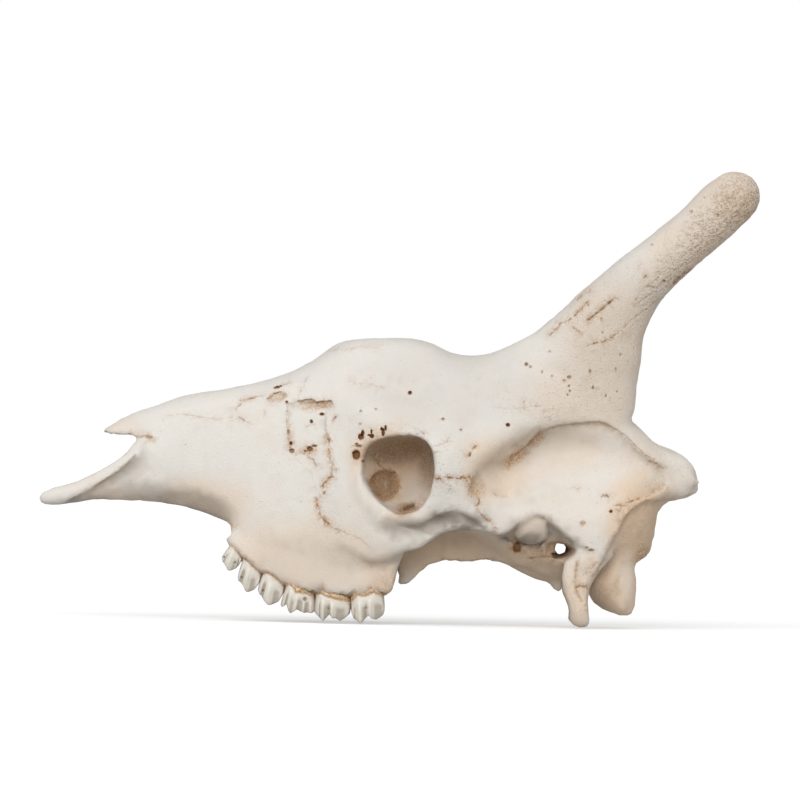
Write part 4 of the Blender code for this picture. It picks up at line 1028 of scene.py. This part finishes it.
def noise_node(tree, vector, scale, detail, roughness=0.6):
    """A noise texture over a position socket."""
    node = tree.nodes.new("ShaderNodeTexNoise")
    node.inputs["Detail"].default_value = detail
    node.inputs["Roughness"].default_value = roughness
    tree.links.new(vector, node.inputs["Vector"])
    if isinstance(scale, bpy.types.NodeSocket):
        tree.links.new(scale, node.inputs["Scale"])
    else:
        node.inputs["Scale"].default_value = scale
    return node.outputs["Fac"]


grain, given, out = new_group("grain", [("Position", "Vector"),
    ("Scale", "Float")], [("Height", "Float"), ("Mottle", "Float")])
grain.links.new(noise_node(grain, given.outputs["Position"], given.outputs["Scale"], 5), out.inputs["Height"])
broad = math_node(grain, "MULTIPLY", given.outputs["Scale"], 0.06)
grain.links.new(noise_node(grain, given.outputs["Position"], broad, 4), out.inputs["Mottle"])

pores, given, out = new_group(
    "pores", [("Position", "Vector"), ("Scale", "Float"), ("Amount", "Float")], [("Mask", "Float")]
)
cells = pores.nodes.new("ShaderNodeTexVoronoi")
pores.links.new(given.outputs["Position"], cells.inputs["Vector"])
pores.links.new(given.outputs["Scale"], cells.inputs["Scale"])
parts = pores.nodes.new("ShaderNodeSeparateColor")
pores.links.new(cells.outputs["Color"], parts.inputs["Color"])
present = math_node(pores, "LESS_THAN", parts.outputs["Red"], given.outputs["Amount"])
radius = math_node(pores, "MULTIPLY_ADD", parts.outputs["Green"], 0.22)
radius.node.inputs[2].default_value = 0.16
dot = pores.nodes.new("ShaderNodeMapRange")
dot.interpolation_type = "SMOOTHSTEP"
dot.inputs["To Min"].default_value = 1.0
dot.inputs["To Max"].default_value = 0.0
pores.links.new(cells.outputs["Distance"], dot.inputs["Value"])
pores.links.new(radius, dot.inputs["From Max"])
pores.links.new(math_node(pores, "MULTIPLY", dot.outputs["Result"], present), out.inputs["Mask"])

MARKS = ("Warm", "Stain", "Cavity", "Pit", "Crack", "Grime", "Mottle", "Fleck")
COLOURS = ("Base", "Tan", "Brown", "Dirt", "Pit Colour", "Crack Colour", "Grime Colour")
ageing_and_shade, given, out = new_group(
    "ageing_and_shade", [(name, "Float") for name in MARKS] + [(name, "Color") for name in COLOURS], [("Color",
        "Color")]
)
colour = mix_node(ageing_and_shade, given.outputs["Warm"], given.outputs["Base"], given.outputs["Tan"])
patch = math_node(ageing_and_shade, "MULTIPLY_ADD", given.outputs["Mottle"], 1.6)
patch.node.inputs[2].default_value = -0.62
patch.node.use_clamp = True
colour = mix_node(ageing_and_shade, math_node(ageing_and_shade, "MULTIPLY", patch, 0.20), colour, given.outputs["Tan"])
# Hollows darken with dirt and painted shade
colour = mix_node(ageing_and_shade, math_node(ageing_and_shade, "MULTIPLY", given.outputs["Cavity"], 0.42), colour,
    given.outputs["Dirt"])
broken = math_node(ageing_and_shade, "MULTIPLY_ADD", given.outputs["Mottle"], 0.9)
broken.node.inputs[2].default_value = 0.55
flecks = ageing_and_shade.nodes.new("ShaderNodeMapRange")
flecks.interpolation_type = "SMOOTHSTEP"
for name, value in (("From Min", 0.42), ("From Max", 0.60), ("To Min", 0.45), ("To Max", 1.35)):
    flecks.inputs[name].default_value = value
ageing_and_shade.links.new(given.outputs["Fleck"], flecks.inputs["Value"])
broken = math_node(ageing_and_shade, "MULTIPLY", broken, flecks.outputs["Result"])
stained = math_node(ageing_and_shade, "MULTIPLY", given.outputs["Stain"], broken, clamp=True)
colour = mix_node(ageing_and_shade, stained, colour, given.outputs["Brown"])
# Painted shade darkens the colour where its mask is high
colour = mix_node(ageing_and_shade, given.outputs["Grime"], colour, given.outputs["Grime Colour"])
colour = mix_node(ageing_and_shade, given.outputs["Pit"], colour, given.outputs["Pit Colour"])
# Cracks are dark, and holes and pits take painted shade
colour = mix_node(ageing_and_shade, given.outputs["Crack"], colour, given.outputs["Crack Colour"])
ageing_and_shade.links.new(colour, out.inputs["Color"])


def aged_material(made, colours, grain_scale, pore_scale, roughness, shine, bump):
    """Fills in a material from the shared groups, with its own colours and sizes."""
    made.use_nodes = True
    tree = made.node_tree
    shader = tree.nodes["Principled BSDF"]
    shader.inputs["Roughness"].default_value = roughness
    shader.inputs["Specular IOR Level"].default_value = shine
    where = tree.nodes.new("ShaderNodeTexCoord").outputs["Object"]

    def group(kind, **values):
        node = tree.nodes.new("ShaderNodeGroup")
        node.node_tree = kind
        for name, value in values.items():
            socket = node.inputs[name.replace("_", " ")]
            if isinstance(value, bpy.types.NodeSocket):
                tree.links.new(value, socket)
            else:
                socket.default_value = value
        return node

    def attribute(name):
        node = tree.nodes.new("ShaderNodeAttribute")
        node.attribute_name = name
        return node.outputs["Fac"]

    fine = group(grain, Position=where, Scale=grain_scale)
    amount = math_node(tree, "MULTIPLY_ADD", attribute("pores"), 1.1)
    amount.node.inputs[2].default_value = 0.02
    tiny = group(pores, Position=where, Scale=pore_scale, Amount=amount)
    pitted = math_node(tree, "MULTIPLY", attribute("pit"), attribute("pores"))
    pitted = math_node(tree, "MULTIPLY", pitted, 1.0, clamp=True)
    pitted = math_node(tree, "MAXIMUM", pitted, math_node(tree, "MULTIPLY", tiny.outputs["Mask"], 0.75))
    look = group(
        ageing_and_shade, Warm=attribute("warm"), Stain=attribute("stain"), Cavity=attribute("cavity"), Pit=pitted,
        Crack=attribute("crack"), Grime=attribute("painted_shade"), Mottle=fine.outputs["Mottle"],
            Fleck=fine.outputs["Height"],
        **{name.replace(" ", "_"): (*colour, 1.0) for name, colour in zip(COLOURS, colours)},
    )
    tree.links.new(look.outputs["Color"], shader.inputs["Base Color"])
    coarse = math_node(tree, "MULTIPLY_ADD", attribute("pores"), 3.0)
    coarse.node.inputs[2].default_value = 0.8
    uneven = math_node(tree, "MULTIPLY", fine.outputs["Height"], coarse)
    height = math_node(tree, "SUBTRACT", uneven, math_node(tree, "MULTIPLY", tiny.outputs["Mask"], 1.2))
    relief = tree.nodes.new("ShaderNodeBump")
    relief.inputs["Distance"].default_value = bump
    relief.inputs["Strength"].default_value = 0.6
    tree.links.new(height, relief.inputs["Height"])
    tree.links.new(relief.outputs["Normal"], shader.inputs["Normal"])


aged_material(
    bone,
    [(0.655, 0.63, 0.59), (0.65, 0.50, 0.365), (0.40, 0.22, 0.09), (0.40, 0.315, 0.225),
        (0.40, 0.27, 0.155), (0.22, 0.10, 0.03), (0.20, 0.165, 0.135)],
    520.0, 480.0, 0.65, 0.25, 0.0011,
)
cranium.data.shade_smooth()
cranium.data.materials.clear()
cranium.data.materials.append(bone)
cranium.data.transform(SET_DOWN)
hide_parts("cranium")
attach(cranium, "root")

# %% [markdown]
# ## Teeth
#
# Each tooth is a neck line and a cutting edge from the side view, joined around by smooth walls. The cheek side
# has ridges and grooves that grow towards the edge; a hollow crown closes each tooth below.
#
# Rows below: middle and width across the jaw, neck line, cutting edge, reliefs as place from front to back,
# height and width, and pits as x, z, radius and depth.

# %%
TEETH = {
    "p2": (46, 20, [(-169.2, 82.7), (-165.5, 80), (-162, 76), (-156.6, 70)], [(-177.7, 71), (-177, 67),
        (-174, 62.5), (-171.5, 57.7), (-169.5, 57), (-165, 58.5), (-162.5, 60), (-160, 64), (-156.8, 67.5)],
           [(0.08, 0.9, 0.05), (0.17, -0.9, 0.04), (0.36, 1.4, 0.09), (0.60, -0.9, 0.10),
               (0.76, -1.3, 0.045), (0.92, 1.2, 0.07)],
           [(-175.2, 70.7, 1.5, 1.8), (-164.2, 65, 1.5, 0.8)]),
    "p3": (49.5, 23, [(-156.2, 69.6), (-152, 67.5), (-146, 61), (-137.1, 54)], [(-161.7, 52),
        (-161, 47.5), (-158, 45), (-156, 42), (-154, 37), (-151.5, 35.7), (-148, 37), (-145, 38.5),
        (-142.5, 41), (-139, 47)],
           [(0.07, 1.1, 0.05), (0.20, -1.8, 0.05), (0.40, 1.6, 0.08), (0.64, -1.2, 0.10), (0.92, 1.3, 0.07)],
           [(-157.4, 50.5, 1.5, 1.2)]),
    "p4": (54, 27, [(-136.7, 53.6), (-132, 55.5), (-126, 52), (-121, 47.5),
        (-114.2, 41)], [(-141.8, 39), (-140, 34), (-138, 32.5), (-135, 27), (-132, 23.5), (-129, 23),
        (-124, 25), (-121, 26.5), (-118.5, 30), (-115.8, 35)],
           [(0.08, 1.2, 0.05), (0.21, -2.0, 0.05), (0.42, 1.7, 0.09), (0.66, -1.3, 0.11), (0.93, 1.4, 0.06)],
           [(-136, 37.5, 1.5, 1.4)]),
    "m1": (59.5, 31, [(-113.8, 40.6), (-110, 43.5), (-107, 42), (-103, 36), (-95, 35),
        (-84.4, 32)], [(-119.4, 23), (-117, 21), (-113, 24), (-111, 17.5), (-109, 15), (-105, 17),
        (-102.5, 19), (-98, 16.5), (-95, 15.4), (-92, 16), (-88.5, 15), (-86, 16), (-84, 18)],
           [(0.06, 1.2, 0.04), (0.15, -1.6, 0.03), (0.26, 1.7, 0.06), (0.38, -1.0, 0.06),
               (0.50, 0.9, 0.04), (0.60, -1.8, 0.07), (0.70, 0.9, 0.025),
            (0.78, -1.6, 0.05), (0.89, 1.3, 0.04), (0.97, 0.5, 0.03)],
           [(-94.5, 29, 2.3, 2.4)]),
    "m2": (63, 33, [(-84, 31.6), (-79.5, 35.5), (-74, 32), (-66, 30), (-59, 28.5),
        (-48.6, 26.2)], [(-85.4, 16), (-82, 13), (-76.5, 7.5), (-73, 11), (-70, 14), (-67, 10),
        (-64, 10.5), (-59.5, 7.5), (-54, 11), (-49.4, 15)],
           [(0.04, 0.7, 0.03), (0.10, 1.2, 0.035), (0.155, -1.5, 0.02), (0.24, 2.0, 0.05),
               (0.34, -1.5, 0.05), (0.42, -2.6, 0.03), (0.53, 2.0, 0.05),
            (0.73, -1.5, 0.11), (0.96, 1.4, 0.05)],
           [(-70.4, 19.5, 1.2, 0.9)]),
    "m3": (65.5, 32, [(-49.1, 26.6), (-45.5, 30), (-42, 33.5), (-36, 32), (-30, 34), (-25.5, 36.5),
        (-16, 30.5)], [(-48.4, 16), (-46, 10), (-43, 8), (-40, 5.4), (-38, 5.4), (-35, 9.5),
        (-31.5, 13), (-28, 10), (-24, 9), (-20, 11), (-16.5, 14), (-15, 18)],
           [(0.05, 1.2, 0.04), (0.15, -0.9, 0.04), (0.29, 2.0, 0.06), (0.39, -1.2, 0.04),
               (0.47, -2.6, 0.035), (0.59, 2.0, 0.05), (0.80, -1.5, 0.11), (0.98, 1.0, 0.05)],
           [(-33.2, 20.5, 1.3, 0.9)]),
}
AROUND = 168
NECK_TO_EDGE = np.linspace(0, 1, 27)
CROWN = [(0.90, 0.3), (0.80, 1.8), (0.66, 3.4), (0.50, 1.6), (0.38, 1.2), (0.26, 2.8), (0.12, 3.4)]
ROOT = [(8.0, 0.80), (3.0, 1.0), (1.0, 1.02)]


def along_line(line, share):
    """Points at given shares of the way along a line."""
    line = np.asarray(line, float)
    gaps = np.r_[0, np.cumsum(np.hypot(*np.diff(line, axis=0).T))]
    return np.stack([np.interp(share, gaps / gaps[-1], line[:, k]) for k in (0, 1)], axis=1)


def tooth(name, side, middle, width, neck, edge, reliefs, pits):
    """One tooth as a closed mesh with the same marks as the bone."""
    turn = (np.arange(AROUND) + 0.5) * 2 * math.pi / AROUND
    place = 0.5 + 0.5 * np.sign(np.cos(turn)) * np.abs(np.cos(turn)) ** 0.8
    across = np.sign(np.sin(turn)) * np.abs(np.sin(turn)) ** 0.6
    cheek = soft(across / 0.7)
    down = np.mean(edge, axis=0) - np.mean(neck, axis=0)
    down /= np.linalg.norm(down)
    rows, stains = [], []

    def add_row(flat, out, **kinds):
        rows.append(np.column_stack([flat[:, 0], side * (middle + out), flat[:, 1]]))
        stains.append({kind: np.broadcast_to(amount, AROUND) for kind, amount in kinds.items()})

    for deep, size in ROOT:
        add_row(along_line(neck, 0.5 + size * (place - 0.5)) - deep * down, 0.5 * width * size * across,
            stain=0.9)
    for t in NECK_TO_EDGE:
        girth = np.interp(t, [0, 0.1, 0.35, 0.75, 0.92, 1], [0.90, 0.97, 1.0, 0.99, 0.95, 0.90])
        slope = np.where(across < 0, 1 - 0.14 * t, 1.0)
        share = 0.5 + (place - 0.5) * np.interp(t, [0, 0.85, 1], [1.02, 1.0, 0.98])
        tip = along_line(edge, share)
        top = along_line(neck, share)
        tip += (top - tip) * (0.07 * (1 - cheek))[:, None]
        flat = top * (1 - t) + tip * t
        grown = soft((t - 0.16) / 0.45)
        relief = sum(h * np.exp(-(((share - p) / w) ** 2)) for p, h, w in reliefs) * grown * cheek
        lobes = 0.9 * np.cos(2 * math.pi * (1 + (len(reliefs) > 6)) * share) * (1 - cheek) * (0.3 + 0.7 * t)
        pitted = np.zeros(AROUND)
        # Pits are sunk into the cheek side and painted dark as shade inside them, the deeper the darker
        for x, z, radius, depth in pits:
            near = soft(1.3 - np.hypot(flat[:, 0] - x, flat[:, 1] - z) / radius) * cheek
            relief = relief - depth * near
            pitted = np.maximum(pitted, near * min(1.0, 0.35 + 0.3 * depth))
        flat3 = np.column_stack([flat[:, 0], middle + 0.5 * width * across, flat[:, 1]])
        uneven = noise(flat3, 3.0, 61)
        out = 0.5 * width * across * girth * slope + relief - 0.5 * lobes * np.sign(across) + 0.12 * uneven
        fade = np.exp(-((t / 0.09) ** 2)) * (0.75 + 0.4 * uneven)
        ends = np.exp(-((t / 0.35) ** 2)) * soft((np.abs(place - 0.5) - 0.42) / 0.07)
        # Grooves low on the cheek side are painted grey as shade, the part near the cutting edge is grey worn
        # enamel, and the deepest grooves take dirt and painted shade
        add_row(
            flat, out,
            stain=np.clip(np.maximum(0.8 * fade, 0.85 * ends), 0, 1),
            warm=np.clip(soft(-relief / 1.0) * soft((t - 0.3) / 0.25) + 0.3 * soft((t - 0.8) / 0.2), 0, 1),
            cavity=soft((-relief - 1.2) / 1.2), crack=0.6 * pitted,
        )
    # The crown is grey, and darker with stain, dirt and painted shade the deeper it lies
    for size, deep in CROWN:
        share = 0.5 + (place - 0.5) * (0.55 + 0.45 * size)
        tip = along_line(edge, share) - deep * down
        add_row(tip, 0.5 * width * 0.88 * across * size, warm=0.6, stain=min(1.0, 0.12 * deep),
            cavity=min(1.0, 0.3 * deep))
    points = np.concatenate(rows)
    faces = [tuple(range(AROUND))[::-1]]
    for r in range(len(rows) - 1):
        for i in range(AROUND):
            j = (i + 1) % AROUND
            faces.append((r * AROUND + i, r * AROUND + j, (r + 1) * AROUND + j, (r + 1) * AROUND + i))
    last = (len(rows) - 1) * AROUND
    for i in range(AROUND // 2 - 1):
        faces.append((last + i, last + i + 1, last + AROUND - 2 - i, last + AROUND - 1 - i))
    mesh = bpy.data.meshes.new(name)
    mesh.from_pydata(points.tolist(), [], faces)
    made = bmesh.new()
    made.from_mesh(mesh)
    bmesh.ops.recalc_face_normals(made, faces=made.faces)
    bmesh.ops.triangulate(made, faces=made.faces)
    made.to_mesh(mesh)
    made.free()
    for kind in ("warm", "stain", "cavity", "crack", "painted_shade", "pit", "pores"):
        keep_values(mesh, kind, np.concatenate([row.get(kind, np.zeros(AROUND)) for row in stains]))
    mesh.shade_smooth()
    mesh.materials.append(enamel)
    mesh.transform(SET_DOWN)
    return link(name, mesh)


enamel = bpy.data.materials.new("enamel")
aged_material(
    enamel,
    [(0.62, 0.585, 0.52), (0.38, 0.34, 0.29), (0.42, 0.22, 0.06), (0.30, 0.235, 0.17), (0.3, 0.2, 0.1),
        (0.16, 0.09, 0.04), (0.2, 0.16, 0.12)],
    420.0, 300.0, 0.36, 0.5, 0.0003,
)
for side_name, side in (("left", -1), ("right", 1)):
    for name, row in TEETH.items():
        crown = tooth(f"{side_name}_{name}_crown", side, *row)
        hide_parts(f"{side_name}_{name}")
        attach(crown, "root")
print("triangles in a molar:", len(crown.data.polygons))

# %% [markdown]
# ## Camera, light and floor
#
# The camera looks straight at the left side through a long lens, turned as much as the skull was set down, so
# the skull sits in the picture as it was drawn. One broad light from above and in front and an even pale sky
# leave the underside in soft shade. The floor is pale to the camera and throws less light back up.

# %%
LENS = 500.0
SENSOR = 36.0
PICTURE_WIDTH = 0.8
camera_data = bpy.data.cameras.new("camera")
camera_data.lens = LENS
camera_data.sensor_width = SENSOR
camera_data.clip_end = 200.0
camera = bpy.data.objects.new("camera", camera_data)
scene.collection.objects.link(camera)
turn = Matrix.Rotation(-math.atan2(5.0, 222.0), 4, "Y") @ Matrix.Rotation(math.radians(90), 4, "X")
aim = SET_DOWN @ Vector((0.0, 0.0, 227.0))
camera.matrix_world = (
    Matrix.Translation(aim) @ turn @ Matrix.Translation((0.0, 0.0, PICTURE_WIDTH * LENS / SENSOR))
)
scene.camera = camera

floor_mesh = bpy.data.meshes.new("floor")
FLOOR = 40.0
LEVEL = -0.0005
corners = [(-FLOOR, -FLOOR, LEVEL), (FLOOR, -FLOOR, LEVEL), (FLOOR, FLOOR, LEVEL), (-FLOOR, FLOOR, LEVEL)]
floor_mesh.from_pydata(corners, [], [(0, 1, 2, 3)])
floor = link("floor", floor_mesh)
pale = bpy.data.materials.new("pale_floor")
pale.use_nodes = True
tree = pale.node_tree
shader = tree.nodes["Principled BSDF"]
shader.inputs["Roughness"].default_value = 0.9
shader.inputs["Specular IOR Level"].default_value = 0.0
rays = tree.nodes.new("ShaderNodeLightPath")
shade = tree.nodes.new("ShaderNodeMix")
shade.data_type = "RGBA"
shade.inputs["A"].default_value = (0.42, 0.40, 0.37, 1)
shade.inputs["B"].default_value = (0.62, 0.62, 0.62, 1)
shader.inputs["Emission Color"].default_value = (1.0, 1.0, 1.0, 1)
glow = math_node(tree, "MULTIPLY_ADD", rays.outputs["Is Camera Ray"], 0.32)
glow.node.inputs[2].default_value = 0.14
tree.links.new(glow, shader.inputs["Emission Strength"])
tree.links.new(rays.outputs["Is Camera Ray"], shade.inputs["Factor"])
tree.links.new(shade.outputs["Result"], shader.inputs["Base Color"])
floor_mesh.materials.append(pale)


def soft_sun(name, power, spread, direction):
    """A broad even light that shines along a direction."""
    data = bpy.data.lights.new(name, "SUN")
    data.energy = power
    data.angle = math.radians(spread)
    light = bpy.data.objects.new(name, data)
    scene.collection.objects.link(light)
    light.rotation_euler = Vector(direction).to_track_quat("-Z", "Y").to_euler()


soft_sun("key", 2.0, 50, (0.22, 0.80, -0.52))
soft_sun("fill", 0.7, 90, (-0.62, 0.75, -0.10))

world = bpy.data.worlds.new("world")
world.use_nodes = True
tree = world.node_tree
sky = tree.nodes["Background"]
sky.inputs["Color"].default_value = (1.0, 1.0, 1.0, 1)
sky.inputs["Strength"].default_value = 0.56
white = tree.nodes.new("ShaderNodeBackground")
white.inputs["Color"].default_value = (1.0, 1.0, 1.0, 1)
white.inputs["Strength"].default_value = 1.0
rays = tree.nodes.new("ShaderNodeLightPath")
both = tree.nodes.new("ShaderNodeMixShader")
tree.links.new(rays.outputs["Is Camera Ray"], both.inputs["Fac"])
tree.links.new(sky.outputs["Background"], both.inputs[1])
tree.links.new(white.outputs["Background"], both.inputs[2])
tree.links.new(both.outputs["Shader"], tree.nodes["World Output"].inputs["Surface"])
scene.world = world
scene.view_settings.view_transform = "Standard"
